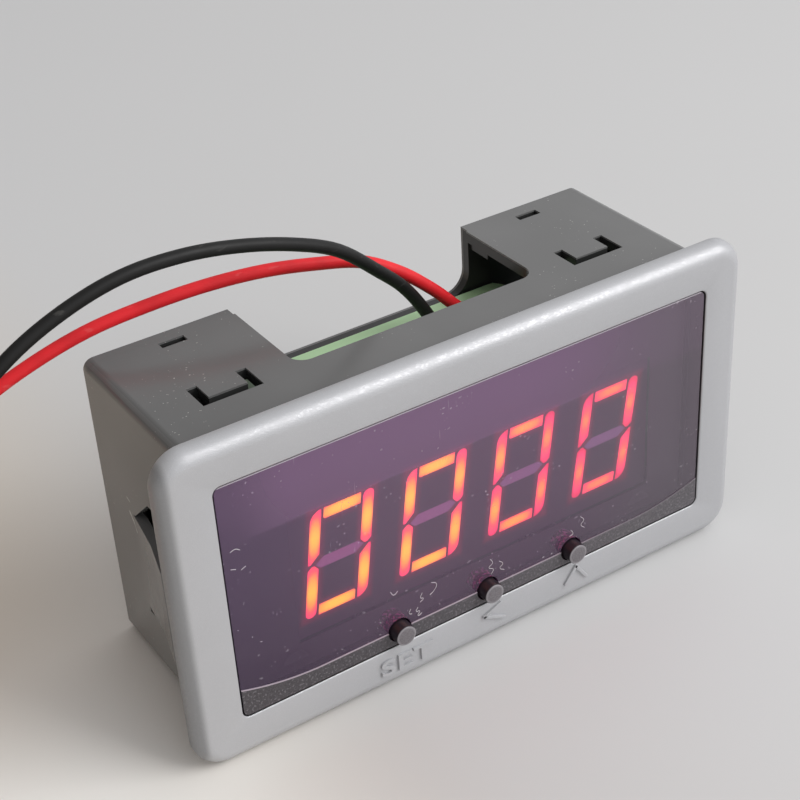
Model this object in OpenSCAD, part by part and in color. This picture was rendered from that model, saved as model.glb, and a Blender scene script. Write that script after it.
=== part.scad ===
// Digital panel meter for a rectangular panel cut-out, in millimetres.
// X is to the right, Y goes back into the panel, Z is up.
// The origin is the middle of the plane of the bezel's rear face, which seats on the panel.

/* [Bezel] */
// Width of the bezel
bezel_w = 79; // [76:0.5:86]
// Height of the bezel
bezel_h = 42.6; // [41.5:0.1:48]
// Thickness of the bezel
bezel_t = 2.5; // [2.2:0.1:3.5]
// Radius of the bezel's outer corners
bezel_corner_r = 4; // [3:0.1:5]
// Radius of the bezel's rounded front edge
bezel_edge_r = 1.9; // [1:0.1:2]
// Depth of the tongues that locate the bezel in the case
bezel_tongue_d = 4; // [2:0.1:5]

/* [Window] */
// How far the case's inner walls stand beyond the window at each side
window_side = 0.25; // [0.1:0.05:1.8]
// How far the case's inner walls stand beyond the window above and below
window_rim = 2; // [1.8:0.1:3]
// Height of the window's middle above the bezel's middle
window_z = 0.3; // [-0.2:0.1:0.6]
// Corner radius of the window opening
window_r = 1; // [0.8:0.1:2.5]
// Thickness of the clear part of the lens
lens_t = 2.26; // [1.8:0.02:2.3]
// How far the matte strip stands in front of the clear part
strip_rise = 0.12; // [0.05:0.01:0.15]
// Height of the matte strip at its middle
strip_h = 2.1; // [1.5:0.1:2.5]
// Gap around the lens in its opening
lens_gap = 0.2; // [0.1:0.05:0.3]

/* [Case] */
// Outer width of the case
case_w = 70.6; // [68.5:0.1:72]
// Outer height of the case
case_h = 38.7; // [37:0.1:39.2]
// Length of the case behind the bezel, without the rear cover
case_d = 23.1; // [22.9:0.1:30]
// Thickness of the case's walls
case_wall = 1.5; // [1.3:0.05:1.6]
// Radius of the case's long edges
case_edge_r = 1.3; // [0.8:0.1:1.3]
// Thickness of the ledge that the lens seats on
ledge_t = 1.2; // [0.8:0.1:1.5]
// Width of the ledge inside the window opening
ledge_w = 1.1; // [0.8:0.1:1.3]

/* [Cable notch] */
// Width of the notch in the top of the case
notch_w = 33; // [30:0.5:38]
// Radius of the notch's front corners
notch_r = 2; // [1:0.1:3]
// Distance from the bezel to the notch
notch_y = 8.8; // [8.8:0.1:11]
// Width of the notch in the rear cover
cover_notch_w = 33.4; // [31:0.1:38]
// Depth of the cover notch below the plug's top face
cover_notch_drop = 0.3; // [0.1:0.1:2]
// Radius of the cover notch's lower corners
cover_notch_r = 3; // [1:0.1:4]

/* [Board snaps] */
// Distance from the middle to each snap tongue
snap_x = 25.1; // [22:0.1:27]
// Width of a snap tongue
snap_w = 4.8; // [3:0.1:6]
// Length of a snap tongue
snap_l = 2.85; // [2:0.05:4]
// Width of the slot round a snap tongue
snap_slot = 1.3; // [0.8:0.1:1.6]
// Height of the lip under the tongue's free edge
snap_lip = 1.2; // [0.6:0.1:1.5]

/* [Side latches] */
// How far a latch stands out of the case at its free end
latch_reach = 2.4; // [1.5:0.1:2.6]
// Thickness of a latch
latch_t = 1.2; // [0.8:0.1:1.3]
// Distance from the bezel to a latch's free end
latch_y = 4.5; // [3:0.1:6]
// Distance from the bezel to a latch's root
latch_root_y = 16.2; // [14:0.1:17]
// Height of a latch's lower edge
latch_z0 = -10.4; // [-11:0.1:-9]
// Height of a latch's upper edge
latch_z1 = 2.6; // [0:0.1:4]
// Gap between a latch and the wall
latch_gap = 1; // [0.6:0.1:1.2]

/* [Rear cover] */
// Thickness of the rear cover
cover_t = 1.5; // [1.2:0.1:2.5]
// Distance from the middle to each cover hook
hook_x = 25.2; // [23:0.1:27]
// Width of a cover hook's nib
hook_w = 2.9; // [2:0.1:4]
// Length of the cover's tabs inside the case
tab_l = 3.8; // [3:0.1:5]
// Thickness of the cover's tabs
tab_t = 1; // [0.8:0.1:1.4]

/* [Display] */
// How far the display stands to the right of the bezel's middle
display_x = 0.4; // [-0.6:0.1:0.6]
// Height of the digits' lower edge above the window's lower edge
digit_rise = 6.95; // [6.8:0.05:7.4]
// Height of a digit
digit_h = 14.3; // [13.6:0.1:14.5]
// Width of a digit, without its slant
digit_w = 8.4; // [7.8:0.1:8.8]
// Distance from one digit to the next
digit_pitch = 12.8; // [12.4:0.1:13]
// Sideways lean of a digit for each unit of height
digit_slant = 0.14; // [0.1:0.01:0.17]
// Width of a segment
segment_w = 1.45; // [1.2:0.05:1.7]
// Gap between two segments
segment_gap = 0.3; // [0.2:0.05:0.4]
// Depth of a segment
segment_t = 0.6; // [0.4:0.1:1.5]
// Width of the display module
module_w = 51.6; // [51.2:0.1:52.4]
// Height of the display module's face above and below the digits
module_rim = 2.35; // [2:0.05:2.4]
// Gap between the lens's rear face and the display
display_gap = 0.6; // [0.3:0.1:1]

/* [Buttons] */
// Distance between two buttons
button_pitch = 12.7; // [9:0.1:14]
// Height of the buttons' axis above the window's lower edge
button_rise = 2.1; // [2:0.05:2.2]
// Diameter of a button's stem
button_d = 2.7; // [2:0.1:2.8]
// Gap round a stem in its switch's cover
button_fit = 0.08; // [0.04:0.01:0.1]
// Gap round a stem in the lens
button_lens_gap = 0.25; // [0.15:0.01:0.3]
// How far a stem stands in front of the bezel
button_reach = 1.3; // [0.8:0.1:3]
// Travel of a button
button_travel = 0.25; // [0.15:0.01:0.3]
// Width and height of a switch
switch_w = 4.5; // [4:0.1:4.6]
// Depth of a switch's base
switch_t = 3.2; // [2.8:0.1:3.8]

/* [Boards] */
// Thickness of a circuit board
board_t = 1.6; // [1.2:0.1:1.6]
// Gap between a board's edge and the case
board_gap = 0.4; // [0.2:0.05:0.6]
// Distance between the two boards
board_space = 2.54; // [2.54:0.01:3]

/* [Terminals] */
// Number of terminals
poles = 8; // [6:1:8]
// Distance between two terminals
pole_pitch = 5.08; // [5:0.01:5.08]
// Thickness of the plug
plug_t = 11.1; // [10.6:0.1:11.2]
// Depth of the plug's top face below the case's top
plug_drop = 8.35; // [8:0.05:10]
// Height of the plug above its shoulder, where it meets the socket
plug_h = 8.6; // [8:0.1:9]
// Width of the plug's end wall beyond its last pole
plug_end = 0.88; // [0.6:0.02:1.2]
// Height of the socket above its board
socket_t = 7.25; // [7:0.05:8]
// Width of a wire entry
entry_w = 3; // [2.8:0.1:3.2]

/* [Wires] */
// Diameter of a wire's insulation
wire_d = 1.6; // [1.2:0.1:2]
// Diameter of a wire's bare end
strand_d = 0.8; // [0.5:0.1:1]
// Length of a wire's bare end
strand_l = 6; // [4:0.5:10]
// Radius of a coil at the middle of its turns
coil_r = 9; // [8:0.5:12]
// Turns in a coil
coil_turns = 3.5; // [2.5:1:5.5]

/* [Hidden] */
$fn = 48;

// A fine overlap that lets a cut run past a face.
cut = 1;
// A running gap between pieces that only meet.
seat = 0.05;

bezel_y = -bezel_t;
inner_w = case_w - 2 * case_wall;
inner_h = case_h - 2 * case_wall;
window_w = inner_w - 2 * window_side;
window_h = inner_h - 2 * window_rim;
window_bottom = window_z - window_h / 2;

// The bezel's locating tongues: distance from the middle and width, above and below.
tongue_t = 0.9;
top_tongue = [12, 10];
low_tongue = [22, 6];

// The boards: the display board stops at the snap tongues and the main board stands behind it.
snap_y = notch_y + seat;
display_board_y = snap_y - 2 * seat - board_t;
main_board_y = display_board_y + board_t + board_space;
main_back_y = main_board_y + board_t;
board_w = inner_w - 2 * board_gap;
board_top_gap = 0.25;
board_h = inner_h - 2 * board_top_gap;

digit_z = window_bottom + digit_rise;
button_z = window_bottom + button_rise;
module_h = digit_h + 2 * module_rim;

// The display module's middle, with the digits' lean shared between its two ends.
module_x = display_x + digit_slant * digit_h / 2;
module_z = digit_z + digit_h / 2;

// The buttons' places and their switches.
button_x = [for (i = [-1:1]) display_x + i * button_pitch];
stem_front = bezel_y - button_reach;
switch_front = display_board_y - switch_t;
switch_cover_t = 0.3;
flange_t = 0.6;
flange_r = button_d / 2 + 0.3;
well_r = flange_r + 0.1;
dome_h = 0.3;
well_d = seat + flange_t + button_travel + dome_h + 0.1;
lens_hole_r = button_d / 2 + button_lens_gap;

// The terminal plug hangs over the edge of its board, behind the wire row.
socket_y1 = main_back_y + socket_t;
plug_y0 = main_board_y + 0.3;
plug_y1 = plug_y0 + plug_t;
wire_y = (plug_y0 + plug_y1) / 2 + 0.36;
plug_half = poles * pole_pitch / 2 + plug_end;
plug_top = case_h / 2 - plug_drop;
cover_notch_z = plug_top - cover_notch_drop;
plug_shoulder = plug_top - plug_h;
main_top_z = plug_shoulder - 0.5;
plug_nose_t = 4.7;
plug_nose_z = plug_shoulder - 8;
plug_nose_y = (main_back_y + socket_y1) / 2;
socket_z0 = plug_nose_z - 3.4;
socket_wall = 0.8;
clamp_z = plug_shoulder + 2;
clamp_h = 3.6;
clamp_w = 3.6;
clamp_d = 4.6;
clamp_top = clamp_z + clamp_h;
screw_z = clamp_z + clamp_h / 2;
screw_r = 1.2;
screw_head_r = 1.75;
pole_x = [for (i = [0:poles - 1]) (i - (poles - 1) / 2) * pole_pitch];
black_pole = pole_x[poles - 3];
red_pole = pole_x[poles - 2];

// The small parts stand in two columns beside the socket.
column_x = plug_half + 3;
driver_z = -board_h / 2 + 4.35;

// The table under the meter: it leans back on the bezel's lower edge and the cover's lower edge.
lean = (bezel_h - case_h) / 2 / (case_d + cover_t);
lean_angle = atan(lean);
function table_z(y) = -bezel_h / 2 + lean * y;
lie = wire_d / 2;

// The wires' routes, out of the plug, over the case and down to the table.
black_route = [
    [black_pole, wire_y, clamp_top], [7.45, 17.5, 11.2], [6.2, 17.5, 14.1], [3.1, 17.1, 18.6],
    [-0.3, 16.7, 22],
    [-6, 16, 27], [-12, 15.4, 30], [-19, 14.9, 32.3], [-26, 14.5, 33.6], [-33, 14.5, 33.5],
    [-40, 14.5, 31.7], [-46.5, 14.5, 28.6], [-53, 14.5, 23.5], [-58.5, 14.4, 16.5],
    [-62.5, 14.2, 8], [-65.5, 14, -1], [-69, 13.6, -8.5], [-74, 13.2, -12.8],
    [-80, 13, -13.9], [-84, 13, -13.9]];
black_coil_at = [-84, 4];
red_route = [
    [red_pole, wire_y, clamp_top], [12.3, 17.5, 11.2], [9.9, 17.6, 14.1], [7.3, 17.9, 16.8],
    [3.6, 18.5, 19.9],
    [-1.2, 19.3, 22.6], [-6.5, 20.1, 23.8], [-13, 21.2, 24.6], [-20, 22.4, 24.6], [-27, 23.6, 23.9],
    [-34, 24.8, 22.6], [-41, 26, 20.1], [-47, 27.2, 16.9], [-52.5, 28.5, 12.5],
    [-57, 29.7, 6.5], [-61, 31, -0.5], [-65, 32.4, -6.8], [-70, 33.5, -10.9], [-76, 34, -12.2],
    [-82, 34, -12.2]];
red_coil_at = [-82, 43];
route_steps = 2;
wire_sides = 8;

// ---------- 2D shapes and placing ----------

module rounded_rect(w, h, r) {
    square([w - 2 * r, h], center = true);
    square([w, h - 2 * r], center = true);
    for (x = [-1, 1], z = [-1, 1])
        translate([x * (w / 2 - r), z * (h / 2 - r)]) circle(r);
}

// Extrudes an outline drawn in X and Z from y0 to y1.
module along_y(y0, y1) {
    translate([0, y1, 0]) rotate([90, 0, 0]) linear_extrude(y1 - y0) children();
}

module block(x0, x1, y0, y1, z0, z1) {
    translate([x0, y0, z0]) cube([x1 - x0, y1 - y0, z1 - z0]);
}

// A round bar along Y.
module bar_y(x, z, r, y0, y1) {
    translate([x, y0, z]) rotate([-90, 0, 0]) cylinder(r = r, h = y1 - y0);
}

module both_sides() {
    children();
    mirror([1, 0, 0]) children();
}

module top_and_bottom() {
    children();
    mirror([0, 0, 1]) children();
}

// ---------- Bezel ----------

// Section through the rim, from the corner's centre outwards and from front to back.
module rim_section() {
    difference() {
        translate([0, bezel_y]) square([bezel_corner_r, bezel_t]);
        translate([bezel_corner_r - bezel_edge_r, bezel_y - cut])
            square([bezel_edge_r + cut, bezel_edge_r + cut]);
    }
    intersection() {
        translate([bezel_corner_r - bezel_edge_r, bezel_y + bezel_edge_r]) circle(bezel_edge_r);
        translate([bezel_corner_r - bezel_edge_r, bezel_y]) square(bezel_edge_r);
    }
}

// One straight side of the rim, with its section swept along X.
module rim_side(length) {
    translate([-length / 2, 0, 0]) rotate([90, 0, 90]) linear_extrude(length)
        rotate(90) mirror([0, 1]) rim_section();
}

module bezel_solid() {
    run = bezel_w - 2 * bezel_corner_r;
    rise = bezel_h - 2 * bezel_corner_r;
    block(-run / 2, run / 2, bezel_y, 0, -rise / 2, rise / 2);
    for (turn = [0, 180]) rotate([0, turn, 0]) translate([0, 0, rise / 2]) rim_side(run);
    for (turn = [90, 270]) rotate([0, turn, 0]) translate([0, 0, run / 2]) rim_side(rise);
    for (x = [-1, 1], z = [-1, 1]) translate([x * run / 2, 0, z * rise / 2]) rotate([-90, 0, 0])
        rotate([0, 0, x * z > 0 ? (x > 0 ? -90 : 90) : (x > 0 ? 0 : 180)])
            rotate_extrude(angle = 90) rim_section();
}

// The tongues, or their slots in the ledge when they grow by a gap.
module tongues(y0, y1, grow) {
    z0 = inner_h / 2 - seat - tongue_t - grow;
    z1 = min(inner_h / 2 - seat + grow, inner_h / 2);
    top_half = top_tongue[1] / 2 + grow;
    low_half = low_tongue[1] / 2 + grow;
    for (x = [-top_tongue[0], top_tongue[0]]) block(x - top_half, x + top_half, y0, y1, z0, z1);
    for (x = [-low_tongue[0], low_tongue[0]]) block(x - low_half, x + low_half, y0, y1, -z1, -z0);
}

module front_bezel() {
    color("silver") {
        difference() {
            bezel_solid();
            translate([0, 0, window_z]) along_y(bezel_y - cut, cut)
                rounded_rect(window_w, window_h, window_r);
        }
        tongues(0, bezel_tongue_d, 0);
    }
}

// ---------- Lens ----------

// The strip's upper edge is straight in the middle and sweeps up to both sides.
module strip_outline() {
    half = window_w / 2 - lens_gap;
    bottom = window_bottom + lens_gap;
    flat = half - 11;
    steps = 8;
    rise = 1.8;
    edge = [for (i = [0:steps]) [flat + i / steps * (half - flat), strip_h + rise * pow(i / steps, 2)]];
    translate([0, bottom]) intersection() {
        polygon(concat([[-half, 0], [half, 0]], [for (i = [steps:-1:0]) edge[i]],
                       [for (p = edge) [-p.x, p.y]]));
        translate([0, window_h / 2 - lens_gap])
            rounded_rect(2 * half, window_h - 2 * lens_gap, window_r - lens_gap);
    }
}

module display_window() {
    color([0.4, 0.3, 0.42, 0.8]) difference() {
        union() {
            translate([0, 0, window_z]) along_y(-lens_t, 0)
                rounded_rect(window_w - 2 * lens_gap, window_h - 2 * lens_gap, window_r - lens_gap);
            along_y(-lens_t - strip_rise, -lens_t) strip_outline();
        }
        for (x = button_x)
            bar_y(x, button_z, lens_hole_r, -bezel_t, cut);
    }
}

// ---------- Case ----------

module case_shell() {
    difference() {
        along_y(0, case_d) rounded_rect(case_w, case_h, case_edge_r);
        along_y(ledge_t, case_d + cut) rounded_rect(inner_w, inner_h, 0.4);
        translate([0, 0, window_z]) along_y(-cut, ledge_t + cut)
            rounded_rect(window_w - 2 * ledge_w, window_h - 2 * ledge_w, window_r);
        for (x = button_x)
            bar_y(x, button_z, lens_hole_r + 0.4, -cut, ledge_t + cut);
        tongues(-cut, ledge_t + cut, 0.1);
    }
}

module top_notch() {
    translate([0, 0, inner_h / 2 - cut]) linear_extrude(case_wall + 2 * cut) {
        translate([0, (notch_y + case_d) / 2 + 2])
            rounded_rect(notch_w, case_d - notch_y + 4, notch_r);
        translate([-notch_w / 2, case_d - 2]) square([notch_w, 2 + cut]);
    }
}

// U-shaped slot that frees a snap tongue on three sides.
module snap_slot_cut() {
    outer = snap_w + 2 * snap_slot;
    z0 = inner_h / 2 - cut;
    z1 = case_h / 2 + cut;
    block(-outer / 2, outer / 2, snap_y - snap_slot, snap_y, z0, z1);
    both_sides() block(snap_w / 2, outer / 2, snap_y - snap_slot, snap_y + snap_l, z0, z1);
}

// Wedge under the tongue's free edge that drops behind the display board.
module snap_wedge() {
    z = inner_h / 2 + 0.2;
    translate([-snap_w / 2, 0, 0]) rotate([90, 0, 90]) linear_extrude(snap_w)
        polygon([[snap_y, z], [snap_y + snap_l - 0.4, z], [snap_y + 0.5, z - snap_lip],
                 [snap_y, z - snap_lip]]);
}

module hook_slot_cut() {
    slack = 0.15;
    block(-hook_w / 2 - slack, hook_w / 2 + slack, case_d - 1.8, case_d - 0.6,
          inner_h / 2 - cut, case_h / 2 + cut);
}

// The wall opening round a side latch, with its slanted upper corner.
module latch_window() {
    x0 = inner_w / 2 - cut;
    y0 = latch_y - latch_gap;
    z0 = latch_z0 - latch_gap;
    z1 = latch_z1 + 4 * latch_gap;
    translate([x0, 0, 0]) rotate([90, 0, 90]) linear_extrude(case_wall + 2 * cut)
        polygon([[y0, z0], [latch_root_y, z0], [latch_root_y, latch_z1], [latch_root_y - 4.4, z1],
                 [y0, z1]]);
}

module side_latch() {
    x1 = case_w / 2;
    knee_y = latch_y + 0.48 * (latch_root_y - latch_y);
    knee_x = x1 + 0.42 * latch_reach;
    tip_x = x1 + latch_reach;
    translate([0, 0, latch_z0]) linear_extrude(latch_z1 - latch_z0)
        polygon([[x1, latch_root_y + cut / 2], [knee_x, knee_y], [tip_x, latch_y + 0.3],
                 [tip_x - 0.4, latch_y], [tip_x - latch_t, latch_y], [knee_x - latch_t, knee_y],
                 [x1 - latch_t, latch_root_y - 0.3], [x1 - latch_t, latch_root_y + cut / 2]]);
}

// Corner posts behind the ledge that the display board seats on.
module board_posts() {
    for (x = [-1, 1], z = [-1, 1])
        block(min(x * inner_w / 2, x * (inner_w / 2 - 2.6)), max(x * inner_w / 2, x * (inner_w / 2 - 2.6)),
              ledge_t, display_board_y,
              min(z * inner_h / 2, z * (inner_h / 2 - 3)), max(z * inner_h / 2, z * (inner_h / 2 - 3)));
}

// Rails on the side walls that hold the lower corners of the main board.
module board_rails() {
    z0 = -inner_h / 2;
    z1 = latch_z0 - latch_gap - 0.6;
    both_sides() {
        block(inner_w / 2 - 1.8, inner_w / 2, main_board_y - 1.1, main_board_y - seat, z0, z1);
        block(inner_w / 2 - 1.8, inner_w / 2, main_back_y + seat, main_back_y + 1.1, z0, z1);
    }
}

module case_body() {
    color("dimgray") {
        difference() {
            case_shell();
            top_notch();
            for (x = [-snap_x, snap_x]) top_and_bottom() translate([x, 0, 0]) snap_slot_cut();
            for (x = [-hook_x, hook_x]) top_and_bottom() translate([x, 0, 0]) hook_slot_cut();
            both_sides() latch_window();
        }
        for (x = [-snap_x, snap_x]) top_and_bottom() translate([x, 0, 0]) snap_wedge();
        both_sides() side_latch();
        board_posts();
        board_rails();
    }
}

// ---------- Rear cover ----------

module cover_plate() {
    along_y(case_d, case_d + cover_t) difference() {
        rounded_rect(case_w, case_h, case_edge_r);
        translate([0, cover_notch_z + case_h / 2])
            rounded_rect(cover_notch_w, case_h, cover_notch_r);
    }
}

// A tab under the case's wall, with the nib that snaps into the wall's slot.
module cover_tab() {
    z1 = inner_h / 2 - 0.1;
    x0 = cover_notch_w / 2 + 0.3;
    x1 = hook_x + 4;
    nib_y = case_d - 1.7;
    both_sides() {
        block(x0, x1, case_d - tab_l, case_d, z1 - tab_t, z1);
        translate([hook_x - hook_w / 2, 0, 0]) rotate([90, 0, 90]) linear_extrude(hook_w)
            polygon([[nib_y, z1], [nib_y, z1 + 0.4], [nib_y + 0.7, z1 + 1.1], [nib_y + 1, z1 + 1.1],
                     [nib_y + 1, z1]]);
    }
}

module rear_cover() {
    color("gray") {
        cover_plate();
        top_and_bottom() cover_tab();
    }
}

// ---------- Display ----------

// Outlines of the segments in a digit's own frame, before its slant.
function corner(cx, cy, r, a0, a1) = [for (i = [0:6]) let (a = a0 + (a1 - a0) * i / 6)
    [cx + r * cos(a), cy + r * sin(a)]];

function left_upper() = let (t = segment_w, m = digit_h / 2, g = segment_gap)
    concat([[0, m + g / 2], [0.35, m + g / 2], [t, m + g / 2 + t * 0.75], [t, digit_h]],
           corner(t, digit_h - t, t, 90, 180));

function left_lower() = let (t = segment_w, m = digit_h / 2, g = segment_gap, r = 0.48 * segment_w)
    concat([[0, m - g - 0.3], [0.35 * t, m - g / 2], [0.6 * t, m - g / 2], [t, m - g - 0.5]],
           corner(t - r, r, r, 0, -90), corner(r, r, r, -90, -180));

function top_bar() = let (t = segment_w, g = segment_gap)
    [[t + g, digit_h], [digit_w - t - g, digit_h], [digit_w - t - g, digit_h - t],
     [t + g + 0.2, digit_h - t], [t + g, digit_h - t + 0.2]];

function middle_bar() = let (t = segment_w, m = digit_h / 2, g = segment_gap)
    [[0.7 * t, m - 0.1], [t + g, m - t / 2], [digit_w - t - 2 * g, m - t / 2],
     [digit_w - 0.7 * t, m + 0.1], [digit_w - t - g, m + t / 2], [t + 2 * g, m + t / 2]];

function turned(points) = [for (p = points) [digit_w - p.x, digit_h - p.y]];
function slanted(points) = [for (p = points) [p.x + digit_slant * p.y, p.y]];

digit_x = [for (i = [0:3]) display_x - (3 * digit_pitch + digit_w) / 2 + i * digit_pitch];

module lit_outline() {
    for (x = digit_x, s = [left_upper(), left_lower(), top_bar()]) {
        translate([x, digit_z]) polygon(slanted(s));
        translate([x, digit_z]) polygon(slanted(turned(s)));
    }
}

module unlit_outline() {
    for (x = digit_x) translate([x, digit_z]) polygon(slanted(middle_bar()));
}

module display_module() {
    y0 = display_gap;
    color("darkslategray") difference() {
        translate([module_x, 0, module_z]) along_y(y0, display_board_y)
            square([module_w, module_h], center = true);
        along_y(y0 - cut, y0 + segment_t) lit_outline();
        along_y(y0 - cut, y0 + segment_t) unlit_outline();
    }
}

module lit_segments() {
    color("orangered") along_y(display_gap, display_gap + segment_t) lit_outline();
}

module unlit_segments() {
    color("mediumpurple") along_y(display_gap, display_gap + segment_t) unlit_outline();
}

pin_rows = [for (i = [0:5], s = [-1, 1]) [module_x + (i - 2.5) * 2.54, module_z + s * 7.62]];
pin_r = 0.25;
pin_tail = 1.4;

module display_pins() {
    color("silver") for (p = pin_rows)
        bar_y(p[0], p[1], pin_r, display_board_y, display_board_y + board_t + pin_tail);
}

link_x = 28;
link_z = [for (i = [0:5]) main_top_z - 1.3 - i * 2.54];
link_r = 0.32;
link_points = [for (s = [-1, 1], z = link_z) [s * link_x, z]];

module display_board() {
    y0 = display_board_y;
    color("darkgreen") difference() {
        block(-board_w / 2, board_w / 2, y0, y0 + board_t, -board_h / 2, board_h / 2);
        for (p = pin_rows)
            bar_y(p[0], p[1], pin_r + 0.15, y0 - cut, y0 + board_t + cut);
        for (p = link_points)
            bar_y(p[0], p[1], link_r + 0.15, y0 - cut, y0 + board_t + cut);
    }
}

// ---------- Buttons and their switches ----------

module button(i) {
    flange_y = switch_front + switch_cover_t + seat;
    color("dimgray") {
        bar_y(button_x[i], button_z, button_d / 2, stem_front, flange_y);
        bar_y(button_x[i], button_z, flange_r, flange_y, flange_y + flange_t);
    }
}

module set_button() { button(0); }
module shift_button() { button(1); }
module up_button() { button(2); }

module switch_bases() {
    y0 = switch_front + switch_cover_t;
    color([0.15, 0.15, 0.15]) for (x = button_x) difference() {
        translate([x, 0, button_z]) along_y(y0, display_board_y) square(switch_w, center = true);
        bar_y(x, button_z, well_r, y0 - cut, y0 + well_d);
    }
}

module switch_covers() {
    color("silver") for (x = button_x) difference() {
        translate([x, 0, button_z]) along_y(switch_front, switch_front + switch_cover_t)
            square(switch_w, center = true);
        bar_y(x, button_z, button_d / 2 + button_fit, switch_front - cut,
              switch_front + switch_cover_t + cut);
    }
}

// Section of a snap dome: an arch that rises to dome_h over its rim.
function arch(r, sag) = [for (i = [0:4]) let (u = i / 4) [r * u, dome_h * (1 - u * u) - sag]];

module switch_domes() {
    sheet = 0.1;
    y1 = switch_front + switch_cover_t + well_d;
    outer = arch(well_r - 0.1, 0);
    inner = arch(well_r - 0.25, sheet);
    color("gold") for (x = button_x)
        translate([x, y1, button_z]) rotate([90, 0, 0]) rotate_extrude()
            polygon(concat(outer, [for (i = [4:-1:0]) [inner[i].x, max(inner[i].y, 0)]]));
}

// ---------- Links between the boards ----------

module link_strips() {
    y0 = display_board_y + board_t;
    color([0.1, 0.1, 0.1]) for (s = [-1, 1]) difference() {
        block(s * link_x - 1.27, s * link_x + 1.27, y0, main_board_y, link_z[5] - 1.27, link_z[0] + 1.27);
        for (z = link_z)
            bar_y(s * link_x, z, link_r + seat, y0 - cut, main_board_y + cut);
    }
}

module link_pins() {
    color("gold") for (p = link_points)
        bar_y(p[0], p[1], link_r, display_board_y - 0.8, main_back_y + 1.2);
}

module driver_chips() {
    y0 = display_board_y + board_t;
    color([0.12, 0.12, 0.12]) for (x = [-11, 11]) {
        block(x - 5, x + 5, y0 + 0.2, y0 + 1.9, driver_z - 1.95, driver_z + 1.95);
        for (i = [0:7], s = [-1, 1]) translate([x + (i - 3.5) * 1.27, 0, driver_z + s * 2.5])
            block(-0.2, 0.2, y0, y0 + 0.5, -0.55, 0.55);
    }
}

// ---------- Main board ----------

module main_board() {
    color("darkgreen") difference() {
        block(-board_w / 2, board_w / 2, main_board_y, main_back_y, -board_h / 2, main_top_z);
        for (p = link_points)
            bar_y(p[0], p[1], link_r + 0.15, main_board_y - cut, main_back_y + cut);
        for (x = pole_x)
            bar_y(x, socket_z0 + 1.2, 0.85, main_board_y - cut, main_back_y + cut);
    }
}

// The controller and the regulator stand on the main board's front face.
module controller_chip() {
    z = main_top_z - 5.4;
    color([0.12, 0.12, 0.12]) {
        block(-3.5, 3.5, main_board_y - 1.6, main_board_y - 0.15, z - 3.5, z + 3.5);
        for (i = [0:7], s = [-1, 1]) translate([s * 3.95, 0, z + (i - 3.5) * 0.8])
            block(-0.45, 0.45, main_board_y - 0.5, main_board_y, -0.15, 0.15);
    }
}

module voltage_regulator() {
    x = 16;
    z = main_top_z - 5.4;
    color([0.12, 0.12, 0.12]) {
        block(x - 3.25, x + 3.25, main_board_y - 1.8, main_board_y - 0.1, z - 1.8, z + 1.8);
        block(x - 1.5, x + 1.5, main_board_y - 0.4, main_board_y, z + 1.8, z + 3.4);
        for (i = [-1:1]) translate([x + i * 2.3, 0, z])
            block(-0.35, 0.35, main_board_y - 0.4, main_board_y, -3.4, -1.8);
    }
}

module crystal() {
    color("silver") translate([column_x, main_back_y, main_top_z - 4.2]) rotate([-90, 0, 0])
        linear_extrude(3.5) rounded_rect(4.6, 7, 2.2);
}

module capacitors() {
    can_r = 2.5;
    can_h = 6;
    groove = 0.5;
    color("midnightblue") for (i = [0:1])
        translate([-column_x, main_back_y, main_top_z - 3 - i * (2 * can_r + 0.8)]) rotate([-90, 0, 0]) {
            cylinder(r = can_r, h = groove);
            translate([0, 0, groove]) cylinder(r = can_r - 0.2, h = groove);
            translate([0, 0, 2 * groove]) cylinder(r = can_r, h = can_h - 2 * groove);
        }
}

module resistors() {
    color([0.2, 0.2, 0.2]) for (i = [-1, 1], j = [0:1])
        translate([column_x + i * 1.2, main_back_y, main_top_z - 10 - j * 2.8])
            block(-0.6, 0.6, 0, 0.55, -1, 1);
}

// ---------- Terminals ----------

module terminal_socket() {
    color("seagreen") difference() {
        block(-plug_half, plug_half, main_back_y, socket_y1, socket_z0, plug_shoulder - 0.1);
        block(-plug_half + socket_wall, plug_half - socket_wall,
              plug_nose_y - plug_nose_t / 2 - 0.1, plug_nose_y + plug_nose_t / 2 + 0.1,
              plug_nose_z - 0.1, plug_shoulder + cut);
        for (x = pole_x)
            block(x - 0.55, x + 0.55, main_back_y - cut, plug_nose_y + 0.55, socket_z0 + 0.65, plug_nose_z);
    }
}

module socket_pins() {
    pin = 1;
    z0 = socket_z0 + 0.7;
    color("silver") for (x = pole_x) {
        block(x - pin / 2, x + pin / 2, main_board_y - 0.9, plug_nose_y + pin / 2, z0, z0 + pin);
        block(x - pin / 2, x + pin / 2, plug_nose_y - pin / 2, plug_nose_y + pin / 2, z0,
              plug_shoulder - 1.4);
    }
}

// The plug's outline from above, with slanted rear corners.
module plug_outline() {
    polygon([[-plug_half, plug_y0], [plug_half, plug_y0], [plug_half, plug_y1 - 1.9],
             [plug_half - 1.2, plug_y1], [-plug_half + 1.2, plug_y1], [-plug_half, plug_y1 - 1.9]]);
}

module plug_pole_cuts() {
    gap = 0.05;
    block(-clamp_w / 2 - gap, clamp_w / 2 + gap, wire_y - clamp_d / 2 - gap, wire_y + clamp_d / 2 + gap,
          clamp_z, clamp_top + gap);
    block(-entry_w / 2, entry_w / 2, wire_y - entry_w / 2, wire_y + entry_w / 2, clamp_top, plug_top + cut);
    block(-0.65, 0.65, plug_nose_y - 0.65, plug_nose_y + 0.65, plug_nose_z - cut, clamp_z + gap);
    bar_y(0, screw_z, screw_head_r + 0.1, wire_y + clamp_d / 2, plug_y1 + cut);
}

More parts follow.
